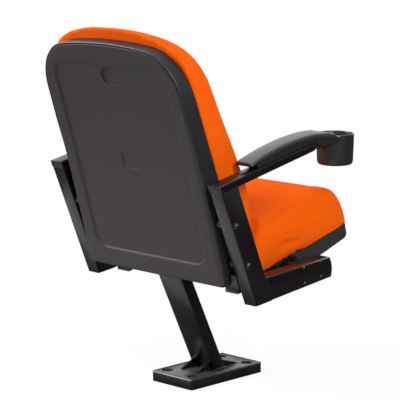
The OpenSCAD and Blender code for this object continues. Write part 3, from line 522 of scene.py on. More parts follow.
def upholstery_cloth(name, colour):
    m, w, skin, place = new_material(name)
    v = use(w, WEAVE, Vector=place, Pitch=1.1)
    g = use(w, GRAIN, Vector=place, Size=6.0, Drift=70.0)
    yarn = w.mix(v.outputs["Yarn"], solid(colour, 0.86), solid(colour, 1.06))
    faded = w.mix(w.math("MULTIPLY", g.outputs["Shade"], 0.10), yarn, (1.0, colour[1] * 1.4, colour[2], 1))
    w.feed(skin.inputs["Base Color"], faded)
    set_plain(skin, Roughness=0.85, Specular_IOR_Level=0.08)
    soft = bump(w, skin, g.outputs["Height"], 0.35, 0.5)
    bump(w, skin, v.outputs["Height"], 0.18, 0.7, under=soft)
    return m


def birch_ply(name):
    m, w, skin, place = new_material(name)
    stretch = w.add("ShaderNodeMapping", {"Vector": place, "Scale": (9.0, 160.0, 60.0)})
    figure = w.noise(stretch.outputs[0], 1.0, 6.0, Roughness=0.6)
    g = use(w, GRAIN, Vector=place, Size=1.5, Drift=60.0)
    figured = w.span(figure, 0.3, 0.7, 0.0, 1.0)
    w.feed(skin.inputs["Base Color"], w.mix(figured, (0.36, 0.22, 0.11, 1), (0.58, 0.41, 0.23, 1)))
    w.feed(skin.inputs["Roughness"], w.span(g.outputs["Shade"], 0.0, 1.0, 0.55, 0.7))
    bump(w, skin, figure, 0.2)
    return m


def zinc_plate(name):
    m, w, skin, place = new_material(name)
    stretch = w.add("ShaderNodeMapping", {"Vector": place, "Scale": (40.0, 40.0, 900.0)})
    lines = w.noise(stretch.outputs[0], 1.0, 4.0)
    e = use(w, WEAR_AND_HIGHLIGHT, Vector=place, Width=0.8 * MM, Amount=0.8)
    base = w.mix(lines, (0.22, 0.23, 0.25, 1), (0.34, 0.345, 0.36, 1))
    # painted highlight: edges are lightened, partly rubbed zinc, partly a painted edge highlight
    w.feed(skin.inputs["Base Color"], w.mix(e.outputs["Mask"], base, (0.5, 0.5, 0.5, 1)))
    set_plain(skin, Metallic=1.0)
    w.feed(skin.inputs["Roughness"], w.span(lines, 0.3, 0.7, 0.28, 0.42))
    bump(w, skin, lines, 0.03)
    return m


ENAMEL = hard_finish(
    "black_enamel", (0.0062, 0.0036, 0.0054), (0.018, 0.016, 0.017), 0.27, 1.6, 0.035,
    specular=0.55, wear_and_highlight=0.2, dust_and_sheen=0.02,
)
SHELL_GRAIN = hard_finish(
    "grained_shell", (0.0325, 0.0270, 0.0290), (0.044, 0.041, 0.042), 0.56, 0.9, 0.10,
    specular=0.26, wear_and_highlight=0.3, drift=220.0, shade=0.06,
)
# the rim is the back's plastic, polished; its colour is painted darker and bluer than the back's, a painted
# shade and bluish sheen on the side walls
SHELL_RIM_POLISHED_AND_SHADED = hard_finish(
    "polished_shell_rim_painted_darker", (0.0150, 0.0143, 0.0175), (0.034, 0.034, 0.038), 0.44, 0.8, 0.03,
    specular=0.4, wear_and_highlight=0.3, drift=160.0,
)
FINISH = {
    "enamel": ENAMEL,
    "shell_plastic": SHELL_GRAIN,
    "floor_iron": hard_finish(
        "enamelled_iron", (0.0066, 0.0044, 0.0056), (0.020, 0.019, 0.020), 0.40, 2.6, 0.10,
        specular=0.5, wear_and_highlight=0.2, dust_and_sheen=0.24, wear_and_highlight_width=1.8, drift=60.0,
    ),
    "pad_plastic": hard_finish(
        "satin_arm_pad", (0.0150, 0.0135, 0.0150), (0.044, 0.042, 0.044), 0.38, 0.8, 0.045,
        specular=0.75, wear_and_highlight=0.3, drift=80.0, dust_and_sheen=0.12,
    ),
    "trim_plastic": hard_finish(
        "moulded_trim", (0.0085, 0.0074, 0.0082), (0.030, 0.028, 0.030), 0.42, 0.8, 0.06,
        specular=0.35, wear_and_highlight=0.4, drift=80.0,
    ),
    "black_fixings": hard_finish(
        "black_fixings", (0.012, 0.011, 0.012), (0.10, 0.10, 0.10), 0.30, 0.7, 0.03,
        specular=0.6, wear_and_highlight=0.4, wear_and_highlight_width=0.6, drift=20.0,
    ),
    "rubber": hard_finish(
        "stop_rubber", (0.0095, 0.0090, 0.0090), (0.03, 0.03, 0.03), 0.78, 0.6, 0.10,
        specular=0.3, wear_and_highlight=0.3, drift=30.0,
    ),
    "upholstery": upholstery_cloth("orange_cloth", (0.90, 0.112, 0.0008)),
    "plywood": birch_ply("birch_ply"),
    "zinc": zinc_plate("zinc_plate"),
}


def paint(obj, *materials):
    obj.data.materials.clear()
    for m in materials:
        obj.data.materials.append(m)


def stand_for(obj, node, *materials):
    """The piece takes a CAD node's place, body and finish."""
    slot = SLOT_OF[node]
    paint(obj, *(materials or (FINISH[slot],)))
    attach(obj, BODY_OF[node])
    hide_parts(node)
    return obj


for node, obj in frame["nodes"].items():
    paint(obj, FINISH[SLOT_OF[node]])


# ---------------------------------------------------------------- studio

def build_room():
    world = bpy.data.worlds.new("studio")
    bpy.context.scene.world = world
    w = bare_tree(world)
    out = w.add("ShaderNodeOutputWorld")
    way = w.add("ShaderNodeSeparateXYZ", {0: w.add("ShaderNodeTexCoord").outputs["Generated"]})

    def ramp(stops, strength=1.0):
        n = w.add("ShaderNodeValToRGB", {0: w.math("MULTIPLY_ADD", way.outputs[2], 0.5, 0.5)})
        n.color_ramp.elements[0].position, n.color_ramp.elements[1].position = 0.0, 1.0
        for at, _ in stops[1:-1]:
            n.color_ramp.elements.new(at)
        for element, (at, level) in zip(n.color_ramp.elements, stops):
            element.position, element.color = at, (level, level, level, 1)
        return w.add("ShaderNodeBackground", {"Color": n.outputs[0], "Strength": strength}).outputs[0]

    room = ramp([(0.0, 0.25), (0.45, 0.22), (0.52, 0.34), (0.7, 0.35), (1.0, 0.37)])
    # what gloss mirrors: dark below, light above, and brighter on the sitter's left
    one_sided = w.span(way.outputs[0], -0.6, 0.7, 0.35, 1.45)
    mirror_stops = [(0.0, 0.16), (0.44, 0.05), (0.49, 0.08), (0.55, 0.80), (0.70, 1.05), (1.0, 1.25)]
    mirrored_room = ramp(mirror_stops, one_sided)
    white = w.add("ShaderNodeBackground", {"Color": (1, 1, 1, 1), "Strength": 1.0}).outputs[0]
    path = w.add("ShaderNodeLightPath")
    seen = w.math("ADD", path.outputs["Is Camera Ray"], path.outputs["Is Transmission Ray"], clamp=True)
    lit = w.add("ShaderNodeMixShader", {0: path.outputs["Is Glossy Ray"], 1: room, 2: mirrored_room})
    mixed = w.add("ShaderNodeMixShader", {0: seen, 1: lit.outputs[0], 2: white})
    w.feed(out.inputs[0], mixed.outputs[0])


def softbox(name, place, target, size, power):
    lamp = bpy.data.lights.new(name, "AREA")
    lamp.shape, lamp.size, lamp.size_y, lamp.energy = "RECTANGLE", size, size, power
    obj = bpy.data.objects.new(name, lamp)
    bpy.context.scene.collection.objects.link(obj)
    obj.location = place
    obj.rotation_euler = (Vector(target) - Vector(place)).to_track_quat("-Z", "Y").to_euler()
    obj.visible_camera = False


def build_floor():
    bpy.ops.object.select_all(action="DESELECT")
    bpy.ops.mesh.primitive_circle_add(vertices=96, radius=1.3, fill_type="NGON", location=(0, 0, -0.0005))
    floor = bpy.context.object
    floor.name = "studio_floor"
    m = bpy.data.materials.new("studio_floor")
    w = bare_tree(m)
    out = w.add("ShaderNodeOutputMaterial")
    glow = w.add("ShaderNodeEmission", {"Color": (1, 1, 1, 1), "Strength": 1.0})
    at = w.add("ShaderNodeTexCoord").outputs["Object"]
    reach = w.add("ShaderNodeVectorMath", {0: at}, operation="LENGTH").outputs["Value"]
    fade = w.span(reach, 0.3, 0.95, 0.93, 1.0)
    path = w.add("ShaderNodeLightPath")
    # the floor mirrors darkly in front and round the foot, as if flagged off there, a painted shade in
    # reflections; behind the seat it glows to glossy rays, a painted light in reflections
    depth = w.add("ShaderNodeSeparateXYZ", {0: at}).outputs[1]
    clear = w.span(depth, 0.24, 0.34, 0.0, 1.0)
    flag = w.math("MULTIPLY", path.outputs["Is Glossy Ray"], w.math("MULTIPLY_ADD", clear, -0.88, 0.88))
    paper = w.add("ShaderNodeBsdfDiffuse", {"Color": w.math("MULTIPLY_ADD", flag, -0.86, 0.86)})
    mirrored_floor = w.math("MULTIPLY", path.outputs["Is Glossy Ray"], w.math("MULTIPLY", clear, 0.75))
    seen = w.math("MULTIPLY_ADD", path.outputs["Is Camera Ray"], fade, mirrored_floor)
    mixed = w.add("ShaderNodeMixShader", {0: seen, 1: paper.outputs[0], 2: glow.outputs[0]})
    w.feed(out.inputs[0], mixed.outputs[0])
    paint(floor, m)


def build_camera():
    lens = bpy.data.cameras.new("camera")
    lens.lens, lens.sensor_width, lens.sensor_fit = 182.67, 36.0, "HORIZONTAL"
    lens.clip_start, lens.clip_end = 0.1, 100.0
    camera = bpy.data.objects.new("camera", lens)
    bpy.context.scene.collection.objects.link(camera)
    turn, rise = radians(224.37), radians(9.92)
    back = Vector((sin(turn) * cos(rise), -cos(turn) * cos(rise), sin(rise)))
    right = Vector((cos(turn), sin(turn), 0))
    stand = Vector((-3.5581, 3.6644, 1.3569))
    axes = zip(right, back.cross(right), back, stand)
    camera.matrix_world = Matrix([tuple(row) for row in axes] + [(0, 0, 0, 1)])
    bpy.context.scene.camera = camera


bpy.context.scene.view_settings.view_transform = "Standard"
build_room()
softbox("overhead_softbox", (-0.3, 0.2, 3.0), (0, 0, 0.5), 2.0, 5)
softbox("rear_softbox", (2.35, 2.05, 2.25), (0, 0.1, 0.5), 1.1, 148)
softbox("front_softbox", (0.3, -2.9, 1.9), (0, 0, 0.5), 1.4, 22)
softbox("side_softbox", (-2.8, 1.0, 2.2), (0, 0, 0.45), 1.4, 78)
build_floor()
build_camera()


# ---------------------------------------------------------------- side frames, column and floor plate

def end_middle(quad, i):
    return (quad[i] + quad[(i + 1) % 4]) / 2 * MM


def nearest_face(bm, middle):
    """The face whose middle, seen from the side, lies nearest to the given point."""
    return min(bm.faces, key=lambda f: (Vector(f.calc_center_median().yz) - middle).length)


def steel_bar(name, quad, x0, x1, radius, ends, hollow=(), wall=2.5, segments=3):
    """A box tube seen from the side as a quad. Its long edges are rounded; a hollow end shows the wall."""
    order = {(False, False): 0, (True, False): 1, (True, True): 2, (False, True): 3}
    obj = block(name, lambda sx, sy, sz: (x1 if sx else x0, *quad[order[sy, sz]]))
    edit(obj)
    bpy.ops.mesh.select_mode(type="EDGE")
    bm = bmesh.from_edit_mesh(obj.data)
    if ends == "x":
        middle, quarter = (x0 + x1) / 2, abs(x1 - x0) / 4
        capped = [f for f in bm.faces if abs(f.calc_center_median().x * 1000 - middle) > quarter]
    else:
        capped = [nearest_face(bm, end_middle(quad, i)) for i in ends]
    for e in bm.edges:
        e.select_set(not any(f in capped for f in e.link_faces))
    bmesh.update_edit_mesh(obj.data)
    bpy.ops.mesh.bevel(offset=radius * MM, segments=segments, affect="EDGES")
    bpy.ops.mesh.select_mode(type="FACE")
    bpy.ops.mesh.select_all(action="DESELECT")
    for i in hollow:
        bm = bmesh.from_edit_mesh(obj.data)
        for f in bm.faces:
            f.select_set(False)
        nearest_face(bm, end_middle(quad, i)).select_set(True)
        bmesh.update_edit_mesh(obj.data)
        bpy.ops.mesh.inset(thickness=wall * MM, depth=0)
        bpy.ops.mesh.inset(thickness=0.00001, depth=-12 * MM)
    bpy.ops.mesh.select_mode(type="VERT")
    leave()
    face_out(obj)
    bevelled(obj, 0.5, 2, 50)
    smooth(obj, 40)
    return obj


def build_frames():
    for side, sx in (("left", 1), ("right", -1)):
        xs = (FRAME_X, FRAME_X + POST_W) if sx > 0 else (-FRAME_X - POST_W, -FRAME_X)
        stand_for(steel_bar("post_tube_" + side, POST_QUAD, *xs, 3.5, (0, 2), hollow=(0,)), "post_" + side)
        stand_for(steel_bar("seat_bar_tube_" + side, BAR_QUAD, *xs, 3.5, (1, 3)), "seat_bar_" + side)
        stand_for(steel_bar("arm_bar_tube_" + side, ARM_QUAD, *xs, 3, (1, 3), hollow=(1,)), "arm_bar_" + side)
        stand_for(rounded_copy("seat_bar_cap_" + side, "bar_cap_" + side, 2.0, 3), "seat_bar_cap_" + side)
        for node, width in (("hinge_plate_", 1.2), ("seat_arm_", 0.8), ("stop_arm_", 1.0)):
            stand_for(rounded_copy(node + side, node + "rounded_" + side, width), node + side)
        stand_for(rounded_copy("buffer_" + side, "stop_buffer_" + side, 1.5, 3), "buffer_" + side)
    stand_for(steel_bar("column_tube", COLUMN_QUAD, -COLUMN_X, COLUMN_X, 4.5, (0, 2)), "column")
    stand_for(steel_bar("cross_beam_tube", BEAM_QUAD, -FRAME_X, FRAME_X, 3.5, "x"), "cross_beam")
    stand_for(rounded_copy("floor_plate", "floor_plate_casting", 1.0, 2, 30), "floor_plate")
    for node in ("front_gussets", "rear_gussets"):
        flat = rounded_copy(node, node + "_welded", 0.7, 2)
        smooth(flat, 20)
        stand_for(flat, node)
    for node, width in (("post_plugs", 0.8), ("arm_bar_plugs", 0.8), ("back_spacers", 0.8)):
        stand_for(rounded_copy(node, node + "_moulded", width), node)


def weld(name, start, end, radius):
    """A run of weld between two points, with the ripple of the torch."""
    a, b = Vector(start), Vector(end)
    way = (b - a).normalized()
    side = way.orthogonal().normalized()
    over = way.cross(side)
    round_it = [cos(k * pi / 4) * side + sin(k * pi / 4) * over for k in range(8)]
    count = max(int((b - a).length / 1.7), 4)
    rings = []
    for i in range(count + 1):
        u = i / count
        r = radius * (1 + 0.10 * (-1) ** i + 0.07 * sin(i * 0.9)) * min(1.0, 0.45 + 6 * min(u, 1 - u))
        c = a.lerp(b, u)
        rings.append([c + r * d for d in round_it])
    bead = loft(name, rings)
    smooth(bead, 60)
    return bead


def build_welds():
    beads = []

    def run(start, end, radius):
        beads.append(weld("bead", start, end, radius))

    post, bar, arm = POST_QUAD, BAR_QUAD, ARM_QUAD
    foot_z = COLUMN_FOOT_Z + 0.6
    for sx in (-1, 1):
        x0, x1 = sx * (FRAME_X + 2), sx * (FRAME_X + POST_W - 2)
        out, inside = sx * (FRAME_X + POST_W - 0.6), sx * (FRAME_X - 0.6)
        run((x0, *post[3]), (x1, *post[3]), 2.6)
        run((x0, *bar[2]), (x1, *bar[2]), 2.6)
        run((out, *arm[1].lerp(post[3], 0.10)), (out, *arm[1].lerp(post[3], 0.92)), 1.7)
        run((out, *bar[1].lerp(bar[2], 0.08)), (out, *bar[1].lerp(bar[2], 0.94)), 1.5)
        for i in (2, 3):
            a, b = BEAM_QUAD[i], BEAM_QUAD[5 - i]
            run((inside, *a.lerp(b, 0.06)), (inside, *a.lerp(b, 0.94)), 2.0)
        x = sx * (COLUMN_X + 0.4)
        run((x, COLUMN_QUAD[0].x, foot_z), (x, COLUMN_QUAD[1].x, foot_z), 2.4)
    for i, z in ((0, foot_z), (1, foot_z), (2, COLUMN_QUAD[2].y - 0.4), (3, COLUMN_QUAD[3].y - 0.4)):
        run((1 - COLUMN_X, COLUMN_QUAD[i].x, z), (COLUMN_X - 1, COLUMN_QUAD[i].x, z), 2.4)
    runs = joined("weld_runs", beads)
    paint(runs, ENAMEL)
    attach(runs, "frame")


build_frames()
build_welds()


# ---------------------------------------------------------------- back shell

def outline_points(half_w, z0, z1, r_top, r_foot, crown=0.0):
    """An upright outline, anticlockwise from the lower right corner, under a crowned top."""
    pts = []

    def arc(cx, cz, r, a0, a1, n):
        for i in range(n + 1):
            a = radians(a0 + (a1 - a0) * i / n)
            pts.append(Vector((cx + r * cos(a), cz + r * sin(a))))

    arc(half_w - r_foot, z0 + r_foot, r_foot, -90, 0, 6)
    if crown:
        def over(a):
            x, z = half_w - r_top + r_top * cos(a), z1 - r_top + r_top * sin(a)
            return z - (z1 - crown + sqrt(crown * crown - x * x))
        low, high = 0.2, pi / 2
        for _ in range(40):
            mid = (low + high) / 2
            low, high = (mid, high) if over(mid) < 0 else (low, mid)
        arc(half_w - r_top, z1 - r_top, r_top, 0, degrees(low), 24)
        x = half_w - r_top + r_top * cos(low)
        a = degrees(acos(x / crown))
        arc(0, z1 - crown, crown, a, 180 - a, 40)
        arc(-half_w + r_top, z1 - r_top, r_top, 180 - degrees(low), 180, 24)
    else:
        arc(half_w - r_top, z1 - r_top, r_top, 0, 90, 16)
        arc(-half_w + r_top, z1 - r_top, r_top, 90, 180, 16)
    arc(-half_w + r_foot, z0 + r_foot, r_foot, 180, 270, 6)
    return pts


def even_out(pts, spacing=3.0, where=None, reach=30):
    """Spaces a closed outline evenly, and rounds it off over the reach by the share where(point) gives."""
    closed = pts + [pts[0]]
    runs = [0.0]
    for a, b in zip(closed, closed[1:]):
        runs.append(runs[-1] + (b - a).length)
    count = int(runs[-1] / spacing)
    even, k = [], 0
    for i in range(count):
        s = runs[-1] * i / count
        while runs[k + 1] < s:
            k += 1
        t = (s - runs[k]) / max(runs[k + 1] - runs[k], 1e-9)
        even.append(closed[k].lerp(closed[k + 1], t))
    if not where:
        return even
    half = int(reach / spacing)
    out = []
    for i, p in enumerate(even):
        share = where(p)
        if share <= 0:
            out.append(p)
            continue
        mean = sum((even[(i + j) % count] for j in range(-half, half + 1)), Vector((0, 0))) / (2 * half + 1)
        out.append(p.lerp(mean, share))
    return out


def ray_hit(pts, centre, angle):
    d = Vector((cos(angle), sin(angle)))
    best = None
    for a, b in zip(pts, pts[1:] + pts[:1]):
        e = b - a
        den = d.cross(e)
        if abs(den) < 1e-12:
            continue
        t, u = (a - centre).cross(e) / den, (a - centre).cross(d) / den
        if t > 0 and -1e-4 <= u <= 1.0001 and (best is None or t > best):
            best = t
    return centre + best * d


def outward(ring):
    """Unit normals of a closed ring, pointing out."""
    n = len(ring)
    out = []
    for i in range(n):
        t = ring[(i + 1) % n] - ring[i - 1]
        out.append(Vector((t.y, -t.x)).normalized())
    return out


PANEL_HALF_W, PANEL_UP, PANEL_TOP_Z, PANEL_R, PANEL_DEPTH = 200, 45, 842, 42, 5.0
SHELL_WALL = 10.0
SHELL_MIDDLE = Vector((0, 594.5))
RIM_TOP_Z = SHELL_TOP_Z - 4.5
RIM_LIFT = 5.5
RECESS_Z, RECESS_R, RECESS_OVAL, RECESS_SINK = 806, 30, 0.79, 2.8
PLAQUE_Z, PLAQUE_HALF_W, PLAQUE_HALF_H, PLAQUE_SINK = 594, 29, 18.5, 1.7
# (way in from the edge, depth) of the step round the panel, and of the rim with and without its groove
STEP = ((9.6, 1.0), (8.6, 0.96), (7.4, 0.84), (3.6, 0.16), (2.4, 0.04), (1.0, 0.0))
GROOVED_RIM = (
    (13, 0.0), (9.6, 0.0), (8.4, 0.3), (7.6, 1.0), (7.1, 1.9), (6.1, 2.0), (5.5, 1.3), (4.7, 0.8), (3.5, 0.8),
    (2.0, 1.7), (0.7, 3.6), (0.0, 7.0),
)
PLAIN_RIM = (
    (13.5, 0.0), (11.6, 0.12), (9.8, 0.45), (8.2, 0.95), (6.7, 1.65), (5.3, 2.5), (4.1, 3.55), (3.0, 4.7),
    (2.0, 6.1), (1.1, 7.8), (0.4, 9.8), (0.0, 12.5),
)
# (way in from the edge, way back from the parting line) of the lip that meets the cushion
LIP = ((0.0, 1.4), (0.4, 0.4), (1.3, 0.0), (4.0, 0.0), (4.8, 0.5), (5.0, 2.0))


def on_back(points, depth):
    return [(p.x, shell_back(p.y) - depth, p.y) for p in points]


def inset(points, normals, d):
    return [p - d * n for p, n in zip(points, normals)]


def toward(points, share, middle):
    return [middle + (p - middle) * share for p in points]


def shell_outlines():
    """The shell's rim and the panel's edge, both met by the same rays from the middle."""
    def corner(p):
        x = abs(p.x)
        return smoothstep(842, 858, p.y) * smoothstep(110, 130, x) * (1 - smoothstep(205, 220, x))

    foot = SHELL_FOOT_Z
    outer = even_out(outline_points(SHELL_HALF_W, foot, RIM_TOP_Z, 128, 12, 1190), where=corner)
    panel = even_out(outline_points(PANEL_HALF_W, foot + PANEL_UP, PANEL_TOP_Z, PANEL_R, PANEL_R))
    kept = outer[::6] + [p for p in panel[::5] if abs(p.x) > 150 and abs(p.y - 592) > 200]
    kept += [p for p in outer if p.y < foot + 14 and abs(p.x) > 225]
    marks = sorted(atan2(p.y - SHELL_MIDDLE.y, p.x - SHELL_MIDDLE.x) for p in kept)
    angles = [marks[0]]
    for a in marks[1:]:
        if a - angles[-1] > 0.006:
            angles.append(a)
    return [[ray_hit(line, SHELL_MIDDLE, a) for a in angles] for line in (outer, panel)]


def shell_rings(rim, step):
    """From the panel's middle out over the step, the rim and the lip, and back inside to the middle."""
    rim_out, step_out = outward(rim), outward(step)
    floor = inset(step, step_out, STEP[0][0])
    rings = []
    for share in (0.04, 0.22, 0.42, 0.62, 0.82, 0.97):
        rings.append(on_back(toward(floor, share, Vector((3, 701))), PANEL_DEPTH))
    for d, share in STEP:
        rings.append(on_back(inset(step, step_out, d), PANEL_DEPTH * share))
    rings.append(on_back([a.lerp(b - 14 * n, 0.5) for a, b, n in zip(step, rim, rim_out)], 0))
    for (d1, h1), (d2, h2) in zip(GROOVED_RIM, PLAIN_RIM):
        ring = []
        for p, n in zip(rim, rim_out):
            g = smoothstep(560, 700, p.y)
            tight = 0.55 + 0.45 * smoothstep(SHELL_FOOT_Z + 2, SHELL_FOOT_Z + 40, p.y)
            q = p - (g * d1 + (1 - g) * d2 * tight) * n
            ring.append((q.x, shell_back(q.y) - (g * h1 + (1 - g) * h2 * tight), q.y))
        rings.append(ring)
    lifted = [Vector((p.x, p.y + RIM_LIFT * smoothstep(770, 890, p.y))) for p in rim]
    for share in (0.3, 0.65):
        ring = []
        for p, q in zip(rim, lifted):
            y = (shell_back(p.y) - PLAIN_RIM[-1][1]) * (1 - share) + (parting(p.y) + 1.5) * share
            ring.append((p.x, y, p.y + (q.y - p.y) * share))
        rings.append(ring)
    for d, back in LIP:
        rings.append([(p.x, parting(p.y) + back, p.y) for p in inset(lifted, rim_out, d)])
    inner = inset(rim, rim_out, LIP[-1][0])
    rings.append(on_back(inner, SHELL_WALL + 2))
    for share in (0.97, 0.75, 0.5, 0.25, 0.04):
        rings.append(on_back(toward(inner, share, SHELL_MIDDLE), SHELL_WALL))
    return rings


def beam_cutter(gap=3.0, reach=200.0):
    """The corner of the shell's foot that the cross beam passes through."""
    c = BEAM_QUAD[2] + gap * (OVER + UP)
    quad = [c - reach * (OVER + UP), c - reach * UP, c, c - reach * OVER]
    return steel_bar("beam_cutter", quad, -FRAME_X, FRAME_X, 2.0, "x")


def back_lean(z):
    return atan2(shell_back(z + 6) - shell_back(z - 6), 12)


def recess_cutter(depth=20):
    lean = back_lean(RECESS_Z)
    sink = PANEL_DEPTH + RECESS_SINK - depth / 2 * cos(lean)
    middle = Vector((0, shell_back(RECESS_Z) - sink, RECESS_Z)) * MM
    turn = Matrix.Rotation(pi / 2 - lean, 4, "X")
    bpy.ops.object.select_all(action="DESELECT")
    bpy.ops.mesh.primitive_cylinder_add(vertices=72, radius=RECESS_R * MM, depth=depth * MM)
    oval = bpy.context.object
    move_points(oval, lambda co: turn @ Vector((co.x, co.y * RECESS_OVAL, co.z)) + middle)
    face_out(oval)
    bevelled(oval, 0.8, 3, 40)
    return oval


def plaque_cutter(depth=12):
    floor_y = shell_back(PLAQUE_Z) - PANEL_DEPTH - PLAQUE_SINK
    slope = tan(back_lean(PLAQUE_Z))

    def corner(sx, sy, sz):
        x, up = (PLAQUE_HALF_W if sx else -PLAQUE_HALF_W), (PLAQUE_HALF_H if sz else -PLAQUE_HALF_H)
        return x, floor_y + up * slope + (depth if sy else 0), PLAQUE_Z + up

    plaque = block("plaque_cutter", corner)
    face_out(plaque)
    bevelled(plaque, 1.2, 3, 40)
    return plaque


def build_shell():
    rim, step = shell_outlines()
    shell = loft("back_shell_moulding", shell_rings(rim, step))
    for cutter in (beam_cutter, recess_cutter, plaque_cutter):
        cut(shell, cutter())
    smooth(shell, 38)
    stand_for(shell, "back_shell", SHELL_GRAIN, SHELL_RIM_POLISHED_AND_SHADED)
    bm = edit(shell)
    # faces near the rim take the polished rim finish, whose colour is painted darker and bluer as shade and
    # sheen
    for f in bm.faces:
        c = f.calc_center_median() * 1000
        f.material_index = 1 if rim_gap(rim, c) < 1.2 + 5.4 * smoothstep(560, 700, c.z) else 0
    bmesh.update_edit_mesh(shell.data)
    leave()


def rim_gap(rim, c):
    """How far a point lies inside the rim, across the back."""
    p = Vector((c.x, c.z))
    best = 1e9
    for a, b in zip(rim, rim[1:] + rim[:1]):
        e = b - a
        t = min(max((p - a).dot(e) / e.length_squared, 0), 1)
        best = min(best, (a + t * e - p).length)
    return best


build_shell()


# ---------------------------------------------------------------- arm pads with their cup holders

PAD_BACK = 106.0
PAD_SOLE_X, WEB_X = 17, 16
# (radius, way down from the rim) of the cup, up the outside, over the rim and down the bore
CUP_WALL = (
    (2, 79), (30, 79), (38.6, 78.6), (41.8, 77.2), (43.8, 74.8), (44.9, 71.5), (45.25, 68), (45.4, 66.2),
    (45.65, 65.4), (45.7, 64.0), (45.65, 62.8), (46.0, 50), (46.5, 35), (46.9, 20.5), (47.05, 14), (47.25, 5),
    (47.5, 3.2), (47.5, 1.9), (47.0, 0.7), (46.0, 0.05), (45.0, 0), (44.2, 0.45), (43.7, 1.5), (43.5, 4),
    (43.0, 20), (42.2, 45), (41.6, 68), (40.8, 71.5), (38.6, 73.4), (35, 74), (20, 74), (2, 74),
)


def arm_point(s, h):
    """A point s along the arm bar from the post and h above the bar's underside, seen from the side."""
    return POST_TOP + s * ARM_DIR + h * ARM_UP


def pad_top(s):
    u = (s - PAD_BACK) / (ARM_LEN - PAD_BACK)
    return ARM_T + 25 + 2.5 * u + 36 * u * (1 - u)


def pad_lines():
    """The pad's upper and lower line from the side, as (y, z) points from the cup to the rear end."""
    steps = [PAD_BACK + (ARM_LEN - PAD_BACK) * i / 14 for i in range(15)]
    top = [tuple(arm_point(s, pad_top(s))) for s in steps]
    y, z = CUP.y, CUP_TOP_Z
    top += [(y + 62, top[-1][1] - 1.6), (y + 47, z + 0.8), (y + 36, z + 0.1), (y, z)]
    low = [tuple(arm_point(s, h)) for s, h in (
        (PAD_BACK, pad_top(PAD_BACK) - 11), (PAD_BACK + 22, pad_top(PAD_BACK) - 12), (PAD_BACK + 31, 22.5),
        (PAD_BACK + 60, 21.5), (ARM_LEN - 24, 21.3), (ARM_LEN - 1, 20.8),
    )]
    low += [(y + 72, z - 23), (y + 60, z - 20.5), (y + 44, z - 18), (y, z - 17)]
    return sorted(top), sorted(low)


def pad_section(w, top, low, crown):
    """The pad cut across, as (x, z) points: crowned top, round shoulders, undercut lip, narrow sole."""
    def turned(a):
        return sin(radians(a)), cos(radians(a))

    h = top - low
    shoulder, sole_r = min(8.5, h * 0.45), min(2.5, h * 0.2)
    flat = w - shoulder
    edge = top - crown * (flat / w) ** 2
    crest = [-flat + 2 * flat * i / 8 for i in range(9)]
    lip = min(top - min(15.0, 0.62 * h), edge - shoulder - 0.6)
    under = min(9.0, max(0.0, lip - low) * 0.6)
    sole = w - 1.2 - under - sole_r
    right = [
        (flat + shoulder * s, edge - shoulder + shoulder * c) for s, c in map(turned, (20, 38, 56, 74, 90))
    ]
    right += [(w, lip + 0.4), (w - 0.5, lip), (w - 0.5 - 0.4 * under, lip - 0.35 * (lip - low - sole_r))]
    right += [(sole + sole_r * c, low + sole_r - sole_r * s) for s, c in map(turned, (0, 30, 60, 90))]
    return (
        [(x, top - crown * (x / w) ** 2) for x in crest] + right
        + [(sole * (1 - 2 * i / 6), low) for i in range(1, 6)] + [(-x, z) for x, z in reversed(right)]
    )


def build_pad_top():
    top, low = pad_lines()
    y_back = arm_point(PAD_BACK, pad_top(PAD_BACK)).x + 1.0
    stations = [y_back - d for d in (0, 0.6, 1.8, 3.6, 6, 10, 16, 22, 26, 30, 34, 40, 50)]
    y_bend, y_front, count = stations[-1], CUP.y + 40, 26
    stations += [y_bend + (y_front - y_bend) * i / count for i in range(1, count + 1)]
    last = len(stations) - 7
    rings = []
    for k, y in enumerate(stations):
        closing = min((y_back - y) / 6.0, 1)
        shrink = 6.0 * (1 - sqrt(1 - (1 - closing) ** 2))
        w = 30 + 12.5 * smoothstep(CUP.y + 118, CUP.y + 34, y) - 1.5 * smoothstep(-60, 40, y) - shrink
        crown = 3.0 - 2.2 * smoothstep(CUP.y + 80, CUP.y + 45, y)
        ring = []
        high, foot = curve_value(top, y) - shrink * 0.75, curve_value(low, y) + shrink * 0.75
        for x, z in pad_section(w, high, foot, crown):
            at = y
            if k > last:
                # the last sections bend round the cup's wall
                wall = CUP.y + sqrt(max(45.6 ** 2 - min(abs(x), 44) ** 2, 0))
                at = stations[last] + (wall - stations[last]) * (k - last) / 6
            ring.append((CUP.x + x, at, z))
        rings.append(ring)
    return loft("arm_pad_top", rings)


def build_pad_web():
    """The web that closes the space between the bar's end and the cup."""
    wall_y = CUP.y + 43.5
    run = (ARM_FRONT.x - wall_y) / cos(radians(ARM_SLOPE))
    quad = [
        ARM_FRONT + run * ARM_DIR + Vector((0, 0.8)), arm_point(ARM_LEN + 0.6, 0.8),
        arm_point(ARM_LEN + 0.6, 24), Vector((wall_y, CUP_TOP_Z - 10)),
    ]
    return steel_bar("pad_web", quad, CUP.x - WEB_X, CUP.x + WEB_X, 1.5, (1, 3))


def build_arm_pads():
    pad = build_pad_top()
    sole_quad = [arm_point(s, h) for s, h in (
        (ARM_LEN, ARM_T), (PAD_BACK + 32, ARM_T), (PAD_BACK + 32, 30), (ARM_LEN, 30),
    )]
    sole = steel_bar("pad_sole", sole_quad, CUP.x - PAD_SOLE_X, CUP.x + PAD_SOLE_X, 1.5, (1, 3))
    web = build_pad_web()
    cup = lathe("cup_holder", CUP, [(r, CUP_TOP_Z - down) for r, down in CUP_WALL], 72)
    whole = joined("arm_pad_top_left", [pad, sole, web, cup])
    smooth(whole, 40)
    other = mirrored(whole, "arm_pad_top_right")
    stand_for(whole, "arm_pad_left")
    stand_for(other, "arm_pad_right")


build_arm_pads()


# ---------------------------------------------------------------- cushions

